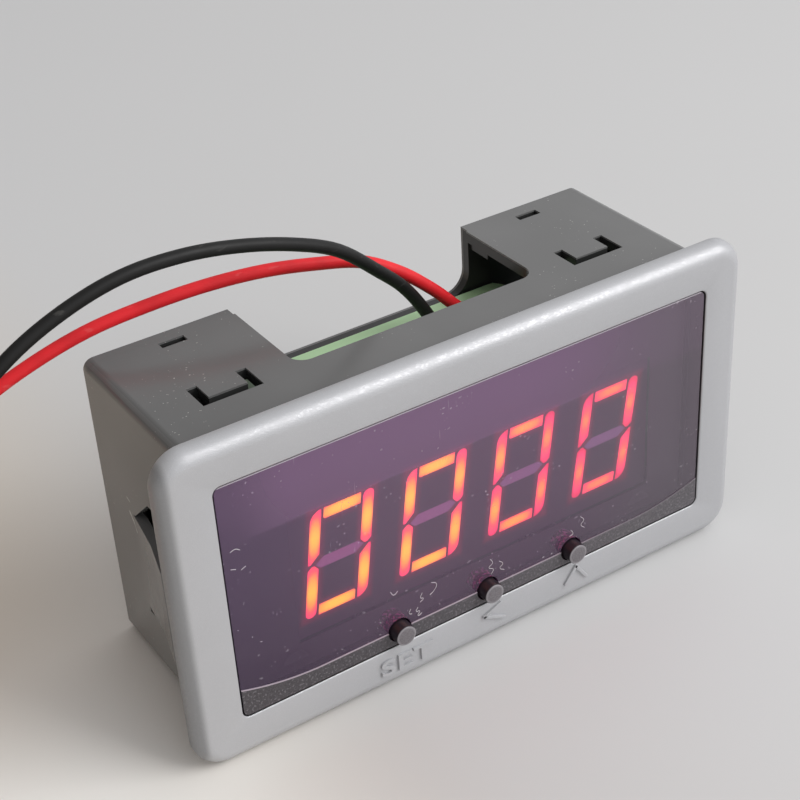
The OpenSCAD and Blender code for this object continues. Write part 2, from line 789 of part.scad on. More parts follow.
module terminal_plug() {
    nose_x = plug_half - socket_wall - 0.1;
    color("yellowgreen") difference() {
        union() {
            translate([0, 0, plug_shoulder]) linear_extrude(plug_top - plug_shoulder) plug_outline();
            block(-nose_x, nose_x, plug_nose_y - plug_nose_t / 2, plug_nose_y + plug_nose_t / 2,
                  plug_nose_z, plug_shoulder);
        }
        for (x = pole_x) translate([x, 0, 0]) plug_pole_cuts();
    }
}

module terminal_clamps() {
    wall = 0.5;
    color("silver") for (x = pole_x) translate([x, 0, 0]) difference() {
        block(-clamp_w / 2, clamp_w / 2, wire_y - clamp_d / 2, wire_y + clamp_d / 2, clamp_z, clamp_top);
        block(-clamp_w / 2 + wall, clamp_w / 2 - wall, wire_y - clamp_d / 2 + wall,
              wire_y + clamp_d / 2 - wall - 0.4, clamp_z - cut, clamp_top + cut);
        bar_y(0, screw_z, screw_r + seat, wire_y, wire_y + clamp_d / 2 + cut);
    }
}

module terminal_screws() {
    head_y0 = wire_y + clamp_d / 2;
    head_y1 = head_y0 + 1.4;
    color("silver") for (x = pole_x) difference() {
        union() {
            bar_y(x, screw_z, screw_r, wire_y + strand_d / 2 + seat, head_y0);
            bar_y(x, screw_z, screw_head_r, head_y0, head_y1);
        }
        block(x - screw_head_r - cut, x + screw_head_r + cut, head_y1 - 0.7, head_y1 + cut,
              screw_z - 0.25, screw_z + 0.25);
    }
}

// ---------- Wires ----------

// A smooth curve through the route's points.
function curve_point(p0, p1, p2, p3, t) =
    0.5 * (2 * p1 + (p2 - p0) * t + (2 * p0 - 5 * p1 + 4 * p2 - p3) * t * t
           + (3 * p1 - p0 - 3 * p2 + p3) * t * t * t);

function smooth(route) = let (last = len(route) - 1)
    concat([for (i = [0:last - 1], s = [0:route_steps - 1])
                curve_point(route[max(i - 1, 0)], route[i], route[i + 1], route[min(i + 2, last)],
                            s / route_steps)],
           [route[last]]);

function unit(v) = v / norm(v);

function ring(center, direction, r) = let (side = unit(cross(direction, [0, 1, 0])),
                                           up = cross(side, direction))
    [for (i = [0:wire_sides - 1]) let (a = 360 * (i + 0.5) / wire_sides)
        center + r * (cos(a) * side + sin(a) * up)];

module tube(path, r) {
    last = len(path) - 1;
    rings = [for (i = [0:last]) ring(path[i], unit(path[min(i + 1, last)] - path[max(i - 1, 0)]), r)];
    points = [for (q = rings, p = q) p];
    walls = [for (i = [0:last - 1], j = [0:wire_sides - 1]) let (k = (j + 1) % wire_sides)
        [i * wire_sides + j, i * wire_sides + k, (i + 1) * wire_sides + k, (i + 1) * wire_sides + j]];
    start = [for (j = [wire_sides - 1:-1:0]) j];
    end = [for (j = [0:wire_sides - 1]) last * wire_sides + j];
    polyhedron(points, concat([start], walls, [end]));
}

// A coil's turns lie on each other: the wire joins at the top and leaves on the table.
coil_h = (coil_turns + 1) * wire_d;
strand_gap = 4.8;

module coil(at) {
    translate([at[0], at[1], table_z(at[1])]) rotate([lean_angle, 0, 0])
        rotate_extrude() translate([coil_r - wire_d / 2, 0]) square([wire_d, coil_h]);
}

// A wire's two bare ends: one in its clamp and one beside its coil.
module strand(pole, at, side) {
    y = at[1] + side * coil_r;
    translate([pole, wire_y, clamp_z + 0.4]) cylinder(r = strand_d / 2, h = clamp_h - 0.4);
    translate([at[0] + strand_gap, y, table_z(y) + lie]) rotate([0, 90, 0])
        cylinder(r = strand_d / 2, h = strand_l);
}

module black_wire() { color("black") tube(smooth(black_route), wire_d / 2); }
module black_coil() { color("black") coil(black_coil_at); }
module black_strand() { color("silver") strand(black_pole, black_coil_at, -1); }
module red_wire() { color("red") tube(smooth(red_route), wire_d / 2); }
module red_coil() { color("red") coil(red_coil_at); }
module red_strand() { color("silver") strand(red_pole, red_coil_at, 1); }

front_bezel();
display_window();
case_body();
rear_cover();
display_board();
display_module();
lit_segments();
unlit_segments();
display_pins();
set_button();
shift_button();
up_button();
switch_bases();
switch_covers();
switch_domes();
link_strips();
link_pins();
driver_chips();
main_board();
controller_chip();
voltage_regulator();
crystal();
capacitors();
resistors();
terminal_socket();
socket_pins();
terminal_plug();
terminal_clamps();
terminal_screws();
black_wire();
black_coil();
black_strand();
red_wire();
red_coil();
red_strand();
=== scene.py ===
"""Digital panel meter: camera, wires, finer pieces and finishes for the frame in model.glb."""

import logging
import math
from dataclasses import dataclass
from enum import Enum
from typing import Any, Callable, Iterable, Mapping, Sequence

import bpy
from mathutils import Euler, Matrix, Vector


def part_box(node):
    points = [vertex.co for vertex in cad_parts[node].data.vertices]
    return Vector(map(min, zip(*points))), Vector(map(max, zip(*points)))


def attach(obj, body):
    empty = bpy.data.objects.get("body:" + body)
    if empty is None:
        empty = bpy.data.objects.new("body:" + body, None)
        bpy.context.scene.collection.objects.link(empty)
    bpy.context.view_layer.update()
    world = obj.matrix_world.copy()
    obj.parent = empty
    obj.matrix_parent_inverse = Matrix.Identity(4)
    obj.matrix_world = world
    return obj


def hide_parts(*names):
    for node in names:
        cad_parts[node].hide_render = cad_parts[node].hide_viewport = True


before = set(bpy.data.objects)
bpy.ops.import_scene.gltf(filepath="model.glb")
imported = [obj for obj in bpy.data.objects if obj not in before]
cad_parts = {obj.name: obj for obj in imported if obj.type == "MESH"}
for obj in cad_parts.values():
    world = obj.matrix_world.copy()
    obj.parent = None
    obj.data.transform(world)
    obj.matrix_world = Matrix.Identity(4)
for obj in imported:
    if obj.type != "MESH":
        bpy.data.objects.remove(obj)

LOG = logging.getLogger("panel_meter")

Point = tuple[float, float, float]
Spot = tuple[float, float]
Colour = tuple[float, float, float]
Piece = bpy.types.Object
Material = bpy.types.Material
Socket = bpy.types.NodeSocket
EdgeTest = Callable[[Vector, Vector], bool]

# Metres in a millimetre. All other sizes and places are in millimetres.
MM = 0.001

# The part's main sizes, which the pieces and finishes share.
BEZEL_W, BEZEL_H, BEZEL_T = 79.0, 42.6, 2.5
CASE_W, CASE_H = 70.6, 38.7
BODY_D = 24.6
WINDOW_W, WINDOW_H, WINDOW_Z = 67.1, 31.7, 0.3
LENS_FRONT, STRIP_RISE = -2.26, 0.12
MODULE_W, MODULE_H, MODULE_X, MODULE_Z = 51.6, 19.0, 1.4, -1.45
BUTTON_X, BUTTON_PITCH, BUTTON_Z = 0.4, 12.7, -13.45

# The meter leans back on the bezel's and the cover's lower edge: the table's rise for each millimetre back.
LEAN = (BEZEL_H - CASE_H) / 2 / BODY_D
LEAN_TURN = Matrix.Rotation(math.atan(LEAN), 3, "X")

# The least angle of an edge that counts as sharp, in degrees.
SHARP = 30.0


def table_z(y: float) -> float:
    """Return the height of the table under a depth y."""
    return LEAN * y - BEZEL_H / 2


# ---------- shader graphs ----------


def math_method(operation: str, swapped: bool = False) -> Callable[..., "Val"]:
    """Return a method of Val that adds one Math node.

    Args:
        operation: The Math node's operation.
        swapped: Whether the other value comes first.

    Returns:
        The method.
    """

    def method(self: "Val", *others: Any) -> "Val":
        """Return the Math node's result on this value and the others."""
        values = (*others, self) if swapped else (self, *others)
        return self.graph.maths(operation, *values)

    return method


class Val:
    """A number socket that takes part in Python arithmetic.

    A comparison is 1 where it holds and 0 elsewhere, and a remainder is never negative.
    """

    def __init__(self, graph: "Graph", socket: Socket) -> None:
        """Keep the graph and its socket that carries the number."""
        self.graph = graph
        self.socket = socket

    __add__ = __radd__ = math_method("ADD")
    __sub__ = math_method("SUBTRACT")
    __rsub__ = math_method("SUBTRACT", swapped=True)
    __mul__ = __rmul__ = math_method("MULTIPLY")
    __truediv__ = math_method("DIVIDE")
    __pow__ = math_method("POWER")
    __mod__ = math_method("FLOORED_MODULO")
    __lt__ = math_method("LESS_THAN")
    __gt__ = math_method("GREATER_THAN")
    __abs__ = math_method("ABSOLUTE")
    largest = math_method("MAXIMUM")
    least = math_method("MINIMUM")

    def __neg__(self) -> "Val":
        """Return the value with its sign turned."""
        return 0.0 - self

    def smooth(self, low: float, high: float) -> "Val":
        """Return a smooth rise from 0 to 1.

        Args:
            low: This value where the rise starts.
            high: This value where it ends.

        Returns:
            The rise as a value.
        """
        settings = {"interpolation_type": "SMOOTHSTEP"}
        made = self.graph.node("ShaderNodeMapRange", settings, {0: self, 1: low, 2: high})
        return Val(self.graph, made.outputs[0])


class Graph:
    """A material's or the world's nodes, with short calls for the ones that are used here."""

    def __init__(self, owner: Material | bpy.types.World) -> None:
        """Start with the owner's node tree emptied.

        Args:
            owner: The material or world.
        """
        owner.use_nodes = True
        self.owner = owner
        self.tree = owner.node_tree
        self.tree.nodes.clear()
        self._place: Socket | None = None

    def node(
        self,
        kind: str,
        settings: Mapping[str, Any] | None = None,
        inputs: Mapping[Any, Any] | None = None,
    ) -> bpy.types.Node:
        """Add a node, set it and fill its sockets.

        Args:
            kind: The node's type.
            settings: Its properties, and "stops" for a ramp's stops.
            inputs: Numbers, colours, values or sockets for its inputs.

        Returns:
            The new node.
        """
        made = self.tree.nodes.new(kind)
        for name, value in (settings or {}).items():
            if name == "stops":
                ramp = made.color_ramp
                while len(ramp.elements) < len(value):
                    ramp.elements.new(0.5)
                for element, (place, colour) in zip(ramp.elements, value):
                    element.position = place
                    element.color = (*colour, 1.0)
            else:
                setattr(made, name, value)
        for key, value in (inputs or {}).items():
            self.feed(made.inputs[key], value)
        return made

    def feed(self, socket: Socket, value: Any) -> None:
        """Link a value to a socket, or write a constant on it.

        Args:
            socket: The input socket.
            value: A value, a socket, a number or a colour.
        """
        if isinstance(value, Val):
            value = value.socket
        if isinstance(value, Socket):
            self.tree.links.new(value, socket)
        elif isinstance(value, tuple) and len(value) == 3 and socket.type == "RGBA":
            socket.default_value = (*value, 1.0)
        else:
            socket.default_value = value

    def maths(self, operation: str, *values: Any) -> Val:
        """Return a Math node's result on its operands."""
        made = self.node("ShaderNodeMath", {"operation": operation}, dict(enumerate(values)))
        return Val(self, made.outputs[0])

    def parts(self, vector: Socket) -> tuple[Val, ...]:
        """Return a vector's x, y and z as values."""
        split = self.node("ShaderNodeSeparateXYZ", {}, {0: vector})
        return tuple(Val(self, socket) for socket in split.outputs)

    @property
    def place(self) -> Socket:
        """Find the Object coordinates, which are the part's frame in metres.

        Returns:
            Their socket.
        """
        if self._place is None:
            self._place = self.node("ShaderNodeTexCoord").outputs["Object"]
        return self._place

    def xyz(self) -> tuple[Val, ...]:
        """Return the place's three parts in millimetres."""
        return tuple(part * (1 / MM) for part in self.parts(self.place))

    def noise(
        self,
        size: float,
        detail: float = 2.0,
        stretch: Point = (1.0, 1.0, 1.0),
        rough: float = 0.5,
    ) -> Val:
        """Return a noise value about 0.5.

        Args:
            size: The size of the noise's grains.
            detail: The number of finer layers.
            stretch: How much longer the grains are along each axis.
            rough: How strong the finer layers are.

        Returns:
            The noise as a value.
        """
        vector: Any = self.place
        if stretch != (1.0, 1.0, 1.0):
            scale = tuple(1.0 / s for s in stretch)
            vector = self.node("ShaderNodeMapping", {}, {"Vector": vector, "Scale": scale}).outputs[0]
        inputs = {"Vector": vector, "Scale": 1 / MM / size, "Detail": detail, "Roughness": rough}
        return Val(self, self.node("ShaderNodeTexNoise", {}, inputs).outputs[0])

    def mix(self, factor: Any, first: Any, second: Any) -> Socket:
        """Return a colour between two, the first at a factor of 0 and the second at 1."""
        made = self.node("ShaderNodeMix", {"data_type": "RGBA"}, {0: factor, 6: first, 7: second})
        return made.outputs[2]

    def ramp(self, factor: Val, stops: Sequence[tuple[float, Colour]]) -> Socket:
        """Return the colour at a place along a ramp, whose stops are given lowest first."""
        return self.node("ShaderNodeValToRGB", {"stops": stops}, {0: factor}).outputs[0]

    def bump(self, height: Val, depth: float, under: Socket | None = None) -> Socket:
        """Return a normal bent by a height.

        Args:
            height: The height, from 0 to 1.
            depth: How deep a height of 1 is.
            under: A normal to start from.

        Returns:
            The normal's socket.
        """
        inputs = {"Height": height, "Distance": depth * MM, "Strength": 1.0}
        if under is not None:
            inputs["Normal"] = under
        return self.node("ShaderNodeBump", {}, inputs).outputs[0]

    def surface(self, **inputs: Any) -> Material:
        """Finish with a Principled surface.

        Args:
            **inputs: Socket names with underscores for spaces.

        Returns:
            The material.
        """
        named = {key.replace("_", " "): value for key, value in inputs.items()}
        shader = self.node("ShaderNodeBsdfPrincipled", {}, named)
        self.node("ShaderNodeOutputMaterial", {}, {"Surface": shader.outputs[0]})
        return self.owner


def start(name: str) -> Graph:
    """Return the empty graph of a new material."""
    return Graph(bpy.data.materials.new(name))


def scaled(colour: Colour, share: float) -> Colour:
    """Return a colour made lighter or darker by a share, with no part past 1."""
    return tuple(min(1.0, part * share) for part in colour)


def from_button(x: Val, z: Val) -> Val:
    """Return how far a point of the front lies from the nearest button's axis.

    Args:
        x: The point's x.
        z: The point's z.

    Returns:
        The distance.
    """
    half = BUTTON_PITCH / 2
    across = abs((x - BUTTON_X + half) % BUTTON_PITCH - half)
    up = z - BUTTON_Z
    return (across * across + up * up) ** 0.5


# ---------- finishes ----------


@dataclass(frozen=True)
class MouldedPlastic:
    """Moulded plastic with a fine grain and faint mottling.

    Attributes:
        name: The material's name.
        colour: The plastic's own colour.
        roughness: The mean roughness.
        grain: The size of the moulded grain.
        grain_depth: How deep the grain is.
        flake: How much lighter the scattered flakes are.
        mottling: How much the colour drifts over the surface.
        metal: How much of the skin is metal flake.
    """

    name: str
    colour: Colour
    roughness: float = 0.45
    grain: float = 0.25
    grain_depth: float = 0.006
    flake: float = 0.0
    mottling: float = 0.06
    metal: float = 0.0

    def shaded(self, graph: Graph, base: Socket) -> Socket:
        """Return the base colour with its painted shade, of which plain plastic has none."""
        return base

    def make(self) -> Material:
        """Make the finish.

        Returns:
            The finished material.
        """
        graph = start(self.name)
        fine = graph.noise(self.grain)
        light, dark = scaled(self.colour, 1 + self.mottling), scaled(self.colour, 1 - self.mottling)
        base = graph.mix(graph.noise(14.0, 3.0).smooth(0.3, 0.7), dark, light)
        base = graph.mix(fine.smooth(0.35, 0.65) * 0.3, base, light)
        if self.flake:
            spark = graph.noise(self.grain * 0.8, 0.0).smooth(0.66, 0.74)
            base = graph.mix(spark, base, scaled(self.colour, 1 + self.flake))
        rough = graph.noise(5.0, 4.0, rough=0.6) * 0.12 + (self.roughness - 0.06)
        if self.metal:
            rough = rough - graph.noise(0.3, 0.0).smooth(0.5, 0.66) * 0.13
        return graph.surface(
            Base_Color=self.shaded(graph, base),
            Roughness=rough,
            Metallic=self.metal,
            Normal=graph.bump(fine, self.grain_depth),
        )


@dataclass(frozen=True)
class BezelPlastic(MouldedPlastic):
    """Silver plastic with painted shade on its window's walls and on the round of its left edge."""

    wall_back: float = -2.36
    left_shade_round: Spot = (37.8, 38.7)

    def shaded(self, graph: Graph, base: Socket) -> Socket:
        """Paint shade on the window's walls and on the round of the left edge.

        Args:
            graph: The material's graph.
            base: The base colour so far.

        Returns:
            The new base colour.
        """
        x, y, z = graph.xyz()
        wide, tall = WINDOW_W / 2 + 0.05, WINDOW_H / 2 + 0.05
        # Painted shade: the window's walls are painted almost black, and the left edge's round darker,
        # where little light falls.
        wall = (abs(x) < wide) * (abs(z - WINDOW_Z) < tall) * (y > self.wall_back)
        base = graph.mix(wall * 0.93, base, (0.01, 0.01, 0.011))
        return graph.mix((-x).smooth(*self.left_shade_round) * 0.45, base, (0.05, 0.05, 0.05))


@dataclass(frozen=True)
class TerminalPlastic(MouldedPlastic):
    """Green terminal plastic, with painted shade where its left end lies under the case."""

    shade_from: float = 14.0
    shade_to: float = 16.5

    def shaded(self, graph: Graph, base: Socket) -> Socket:
        """Return the base colour with painted shade on the left end."""
        # Painted shade: the left end is painted darker green where the case's top shades it.
        left = (-graph.xyz()[0]).smooth(self.shade_from, self.shade_to)
        return graph.mix(left * 0.88, base, (0.02, 0.03, 0.02))


@dataclass(frozen=True)
class CasePlastic:
    """Dark grey case plastic with dust, scuffs and whitened marks at the left latch's root, painted shade
    inside and round the window, and painted light and shade on its left side and top.

    Attributes:
        name: The material's name.
        root_y: The depths that the latch's root lies between.
    """

    name: str = "case_grey"
    root_y: Spot = (15.6, 18.4)

    def whitened(self, graph: Graph) -> Val:
        """Return where the plastic is whitened, because the left latch bends there.

        Args:
            graph: The material's graph.

        Returns:
            1 where it is whitened, and 0 elsewhere.
        """
        x, y, z = graph.xyz()
        root = (x < 0.9 - CASE_W / 2) * (y > self.root_y[0]) * (y < self.root_y[1])
        streak = abs(z - (1.2 + 1.3 * (y - 16.6))).smooth(0.36, 0.05) * (z < 2.6) * (z > 0.4)
        lower = abs(z - 4.3 - 0.35 * (y - 17.4)).smooth(0.16, 0.03) * (y > 17.0) * (y < 17.8)
        return root * streak.largest(lower) * graph.noise(0.8, 3.0).smooth(0.35, 0.6)

    def outside(self, graph: Graph) -> Socket:
        """Return the colour of the outer faces.

        Args:
            graph: The material's graph.

        Returns:
            The colour's socket.
        """
        x, _, z = graph.xyz()
        drift = graph.noise(18.0, 3.0).smooth(0.3, 0.7)
        base = graph.mix(drift, (0.150, 0.149, 0.147), (0.168, 0.167, 0.165))
        # Painted light and shade: the left side is painted darker towards its top and paler towards the
        # table, where light from the table falls, and the top's left is painted darker.
        side = x < 0.3 - CASE_W / 2
        top = z > CASE_H / 2 - 0.15
        base = graph.mix(side * z.smooth(-4.0, 17.0) * 0.22, base, (0.03, 0.03, 0.03))
        base = graph.mix(side * (-z).smooth(0.0, 16.0) * 0.3, base, (0.3, 0.29, 0.26))
        base = graph.mix(top * (-x).smooth(8.0, 34.0) * 0.2, base, (0.03, 0.03, 0.03))
        scratch = graph.noise(0.5, 2.0, (14.0, 1.0, 1.0)).smooth(0.72, 0.8)
        patch = graph.noise(9.0).smooth(0.52, 0.62)
        base = graph.mix(scratch * patch * 0.2, base, (0.2, 0.2, 0.2))
        base = graph.mix(self.whitened(graph) * 0.75, base, (0.62, 0.62, 0.6))
        dust = graph.noise(0.26, 0.0).smooth(0.81, 0.83) * graph.noise(8.0).smooth(0.5, 0.62)
        return graph.mix(dust * 0.7, base, (0.5, 0.48, 0.46))

    def make(self) -> Material:
        """Make the finish.

        Returns:
            The finished material.
        """
        graph = start(self.name)
        x, y, z = graph.xyz()
        base = self.outside(graph)
        # Painted shade: the inner faces are painted almost black.
        inside = (abs(x) < CASE_W / 2 - 1.0) * (abs(z) < CASE_H / 2 - 0.23) * (y > 0.2) * (y < BODY_D - 0.4)
        base = graph.mix(inside * 0.86, base, (0.01, 0.01, 0.01))
        # Painted shade: the ledge round the window, behind the bezel, is painted almost black.
        near_window = (abs(x) < WINDOW_W / 2 + 0.15) * (abs(z - WINDOW_Z) < WINDOW_H / 2 + 0.15)
        ledge_shade = (abs(y) < 0.1) * near_window
        base = graph.mix(ledge_shade * 0.95, base, (0.008, 0.008, 0.009))
        waves = graph.bump(graph.noise(7.0, 1.0), 0.02)
        return graph.surface(
            Base_Color=base,
            Roughness=graph.noise(4.0, 3.0) * 0.1 + 0.17,
            Specular_IOR_Level=0.4,
            Normal=graph.bump(graph.noise(0.35), 0.001, waves),
        )


@dataclass(frozen=True)
class SmokyLens:
    """Smoky purple lens with a matte strip, hair scratches, dust, painted reflection and painted
    highlights.

    Attributes:
        name: The material's name.
        straight: Half the length of the strip's straight edge.
        strip_z: The height of that edge.
        sweep: How far the edge rises towards the sides, and over which length.
        hole: The radius within which a button hole's wall lies.
        sheer: How opaque the clear front is.
    """

    name: str = "smoky_lens"
    straight: float = 22.35
    strip_z: float = -13.3
    sweep: Spot = (1.8, 11.0)
    hole: float = 1.7
    sheer: float = 0.72

    def clear(self, graph: Graph, x: Val, z: Val) -> Socket:
        """Return the clear part's colour, with a painted reflection that makes it lighter towards the top,
        and greyer at the right.

        Args:
            graph: The material's graph.
            x: The place's x.
            z: The place's z.

        Returns:
            The colour's socket.
        """
        right = x.smooth(-36.0, -8.0)
        low = graph.mix(right, (0.052, 0.032, 0.066), (0.098, 0.062, 0.103))
        high = graph.mix(right, (0.10, 0.062, 0.12), (0.15, 0.096, 0.155))
        # Painted reflection of the bright room: the clear part is lighter towards the top.
        tone = graph.mix(z.smooth(-15.0, 9.0) * 0.75, low, high)
        # Paler above the display, and the painted reflection rises further towards the top.
        band = z.smooth(7.9, 8.5) * x.smooth(-33.0, -24.0) + z.smooth(6.0, 15.0) * 0.5
        tone = graph.mix((band * 0.45).least(1.0), tone, (0.25, 0.138, 0.258))
        return graph.mix(x.smooth(6.0, 31.0) * 0.75, tone, (0.13, 0.112, 0.13))

    def matte(self, graph: Graph, x: Val, grain: Val) -> Socket:
        """Return the matte strip's colour, which is grained, flecked and paler at the right.

        Args:
            graph: The material's graph.
            x: The place's x.
            grain: The strip's grain.

        Returns:
            The colour's socket.
        """
        right = x.smooth(-34.0, 30.0)
        low = graph.mix(right, (0.038, 0.033, 0.038), (0.064, 0.056, 0.063))
        high = graph.mix(right, (0.066, 0.059, 0.066), (0.108, 0.098, 0.107))
        tone = graph.mix(grain.smooth(0.3, 0.7), low, high)
        flecks = graph.noise(0.3, 0.0).smooth(0.6, 0.72)
        return graph.mix(flecks * 0.5, tone, (0.2, 0.185, 0.2))

    def dust(self, graph: Graph, x: Val, z: Val) -> Val:
        """Return where specks and hairs lie, most of them low and at the left.

        Args:
            graph: The material's graph.
            x: The place's x.
            z: The place's z.

        Returns:
            How much dust there is.
        """
        speck = graph.noise(0.42, 0.0).smooth(0.79, 0.815)
        cloud = graph.noise(7.0).smooth(0.5, 0.66)
        near = (z < -8.0).largest((x < -30.0) * (z < 8.0))
        hair = graph.noise(0.26, 1.0, (1.0, 1.0, 18.0)).smooth(0.78, 0.8)
        return (speck * (cloud * 0.6 + near * 0.4)).largest(hair * cloud * 0.4)

    def make(self) -> Material:
        """Make the finish.

        Returns:
            The finished material.
        """
        graph = start(self.name)
        x, y, z = graph.xyz()
        grain = graph.noise(0.22)
        strip = y < LENS_FRONT - STRIP_RISE / 2
        dust = self.dust(graph, x, z) * (1 - strip)
        base = graph.mix(dust * 0.6, self.clear(graph, x, z), (0.5, 0.46, 0.48))
        base = graph.mix(strip, base, self.matte(graph, x, grain))
        # Painted highlights: the lens's top edge and the strip's step are painted pale, and the button
        # holes' walls are painted with magenta glints, where light would catch them.
        rise, length = self.sweep
        bend = ((abs(x) - self.straight) / length).largest(0.0)
        step = abs(bend * bend * rise + self.strip_z - z).smooth(0.12, 0.05) * (y < LENS_FRONT - 0.01)
        edge = (z > WINDOW_H / 2 - 0.05) * (y < LENS_FRONT + 0.25)
        hole = (from_button(x, z) < self.hole) * (y > LENS_FRONT + 0.01) * (z > self.strip_z + 0.1)
        base = graph.mix(edge * 0.8, base, (0.6, 0.55, 0.6))
        base = graph.mix(step * (0.8 - x.smooth(0.0, 26.0) * 0.6), base, (0.5, 0.42, 0.48))
        glint = graph.mix(graph.noise(0.4, 1.0).smooth(0.5, 0.62), (0.1, 0.01, 0.08), (0.85, 0.16, 0.7))
        base = graph.mix(hole * 0.85, base, glint)
        solid = strip.largest(step).largest(hole)
        # The rear face is clear over the display and hides everything beside it.
        rear = y > -0.05
        over_module = (abs(x - MODULE_X) < MODULE_W / 2 - 0.1) * (abs(z - MODULE_Z) < MODULE_H / 2 - 0.05)
        base = graph.mix(rear, base, (0.16, 0.115, 0.16))
        opaque = self.sheer * (1 - rear) + rear * (1 - over_module)
        return graph.surface(
            Base_Color=base,
            Roughness=solid * 0.32 + (graph.noise(5.0, 3.0) * 0.04 + 0.05) + dust * 0.3,
            Alpha=(solid + (1 - solid) * opaque + dust * 0.3).least(1.0),
            IOR=1.5,
            Normal=graph.bump(grain * strip, 0.03),
        )


@dataclass(frozen=True)
class ButtonPlastic:
    """Dark button plastic whose end face is rubbed light, most of all at its rim."""

    name: str = "button_grey"
    face_y: float = -3.72
    rim: Spot = (0.95, 1.2)

    def make(self) -> Material:
        """Make the finish.

        Returns:
            The finished material.
        """
        graph = start(self.name)
        x, y, z = graph.xyz()
        face = y < self.face_y
        grain = graph.noise(0.18, 3.0)
        worn = graph.mix(grain.smooth(0.3, 0.7), (0.115, 0.103, 0.112), (0.18, 0.165, 0.175))
        base = graph.mix(face, (0.016, 0.012, 0.017), worn)
        base = graph.mix(face * from_button(x, z).smooth(*self.rim) * 0.6, base, (0.3, 0.28, 0.295))
        return graph.surface(
            Base_Color=base,
            Roughness=grain * 0.2 + 0.26,
            Normal=graph.bump(grain, 0.01),
        )


@dataclass(frozen=True)
class Digits:
    """Where the four digits stand and how big they are.

    Attributes:
        first_x: The left edge of the first digit at its foot.
        foot: The height of the digits' lower edge.
        slant: How far a digit leans to the right for each millimetre up.
        stroke: The width of a segment.
    """

    first_x: float = -23.0
    foot: float = -8.6
    pitch: float = 12.8
    width: float = 8.4
    height: float = 14.3
    slant: float = 0.14
    stroke: float = 1.45

    def locate(self, x: Val, z: Val, margin: float) -> tuple[Val, Val]:
        """Return how far across and up its digit a point lies.

        Args:
            x: The point's x.
            z: The point's z.
            margin: How far to the left of a digit still counts as that digit's.

        Returns:
            The distances from the digit's left edge and from its foot.
        """
        up = z - self.foot
        return (x - self.first_x - self.slant * up + margin) % self.pitch - margin, up


@dataclass(frozen=True)
class LitSegments:
    """Glowing segments, orange in their middle and red at their ends and on the digits at the right."""

    name: str = "lit_segment"
    digits: Digits = Digits()

    def heat(self, graph: Graph) -> Val:
        """Return the way from a segment's hot middle, 0, to its dim rim, 1.

        Args:
            graph: The material's graph.

        Returns:
            The way as a value.
        """
        x, _, z = graph.xyz()
        shape = self.digits
        stroke, half = shape.stroke, shape.height / 2
        across, up = shape.locate(x, z, 0.4)
        side = (across < stroke + 0.15).largest(across > shape.width - stroke - 0.15)
        along_side = abs(up % half - half / 2) / (half / 2)
        along_bar = abs(across - shape.width / 2) / (shape.width / 2 - stroke)
        over_side = abs(abs(across - shape.width / 2) - (shape.width - stroke) / 2) / (stroke / 2)
        over_bar = abs(abs(up - half) - (shape.height - stroke) / 2) / (stroke / 2)
        over = side * over_side + (1 - side) * over_bar
        ends = side * (along_side ** 1.6) * 0.78 + (1 - side) * (along_bar ** 3.0) * 0.4
        far = (x - shape.first_x).smooth(12.0, 42.0)
        return ends + (over ** 3.0) * 0.34 + (graph.noise(0.35) - 0.5) * 0.14 + far * 0.36

    def make(self) -> Material:
        """Make the finish.

        Returns:
            The finished material.
        """
        graph = start(self.name)
        glow = (
            (0.0, (1.0, 0.42, 0.03)),
            (0.25, (1.0, 0.25, 0.04)),
            (0.5, (0.95, 0.07, 0.08)),
            (0.8, (0.85, 0.03, 0.12)),
            (1.0, (0.6, 0.012, 0.07)),
        )
        return graph.surface(
            Base_Color=(0.5, 0.08, 0.04),
            Roughness=0.35,
            Emission_Color=graph.ramp(self.heat(graph), glow),
            Emission_Strength=4.3,
        )


@dataclass(frozen=True)
class DarkSegments:
    """Unlit segments, with a painted purple glow that stands for the light of the lit ones beside them."""

    name: str = "dark_segment"

    def make(self) -> Material:
        """Make the finish.

        Returns:
            The finished material.
        """
        graph = start(self.name)
        x, _, _ = graph.xyz()
        # Painted light: the unlit segments glow purple, standing in for the light of the lit ones beside
        # them.
        return graph.surface(
            Base_Color=graph.mix(graph.noise(0.35), (0.22, 0.1, 0.2), (0.26, 0.12, 0.23)),
            Roughness=0.4,
            Emission_Color=graph.mix(x.smooth(-20.0, 26.0), (0.31, 0.072, 0.215), (0.2, 0.08, 0.2)),
            Emission_Strength=1.9,
        )


@dataclass(frozen=True)
class DisplayFace:
    """The display's dark face, with a painted red glow round the lit digits' edges that stands for their
    light.
    """

    name: str = "module_face"
    digits: Digits = Digits()

    def make(self) -> Material:
        """Make the finish.

        Returns:
            The finished material.
        """
        graph = start(self.name)
        x, y, z = graph.xyz()
        shape = self.digits
        across, up = shape.locate(x, z, 1.6)
        beside = abs(across - shape.width / 2) - (shape.width - shape.stroke) / 2
        above = abs(up - shape.height / 2) - (shape.height - shape.stroke) / 2
        # Painted light: the face glows red round each lit digit's edges, standing in for the digits' light.
        halo = abs(beside.largest(above)).smooth(1.7, 0.75) * (y < 0.75)
        fine = graph.noise(0.8)
        return graph.surface(
            Base_Color=graph.mix(fine, (0.15, 0.105, 0.15), (0.2, 0.14, 0.195)),
            Roughness=fine * 0.1 + 0.55,
            Emission_Color=graph.mix(halo, (0.0, 0.0, 0.0), (0.3, 0.008, 0.03)),
            Emission_Strength=1.0,
            Normal=graph.bump(fine, 0.002),
        )


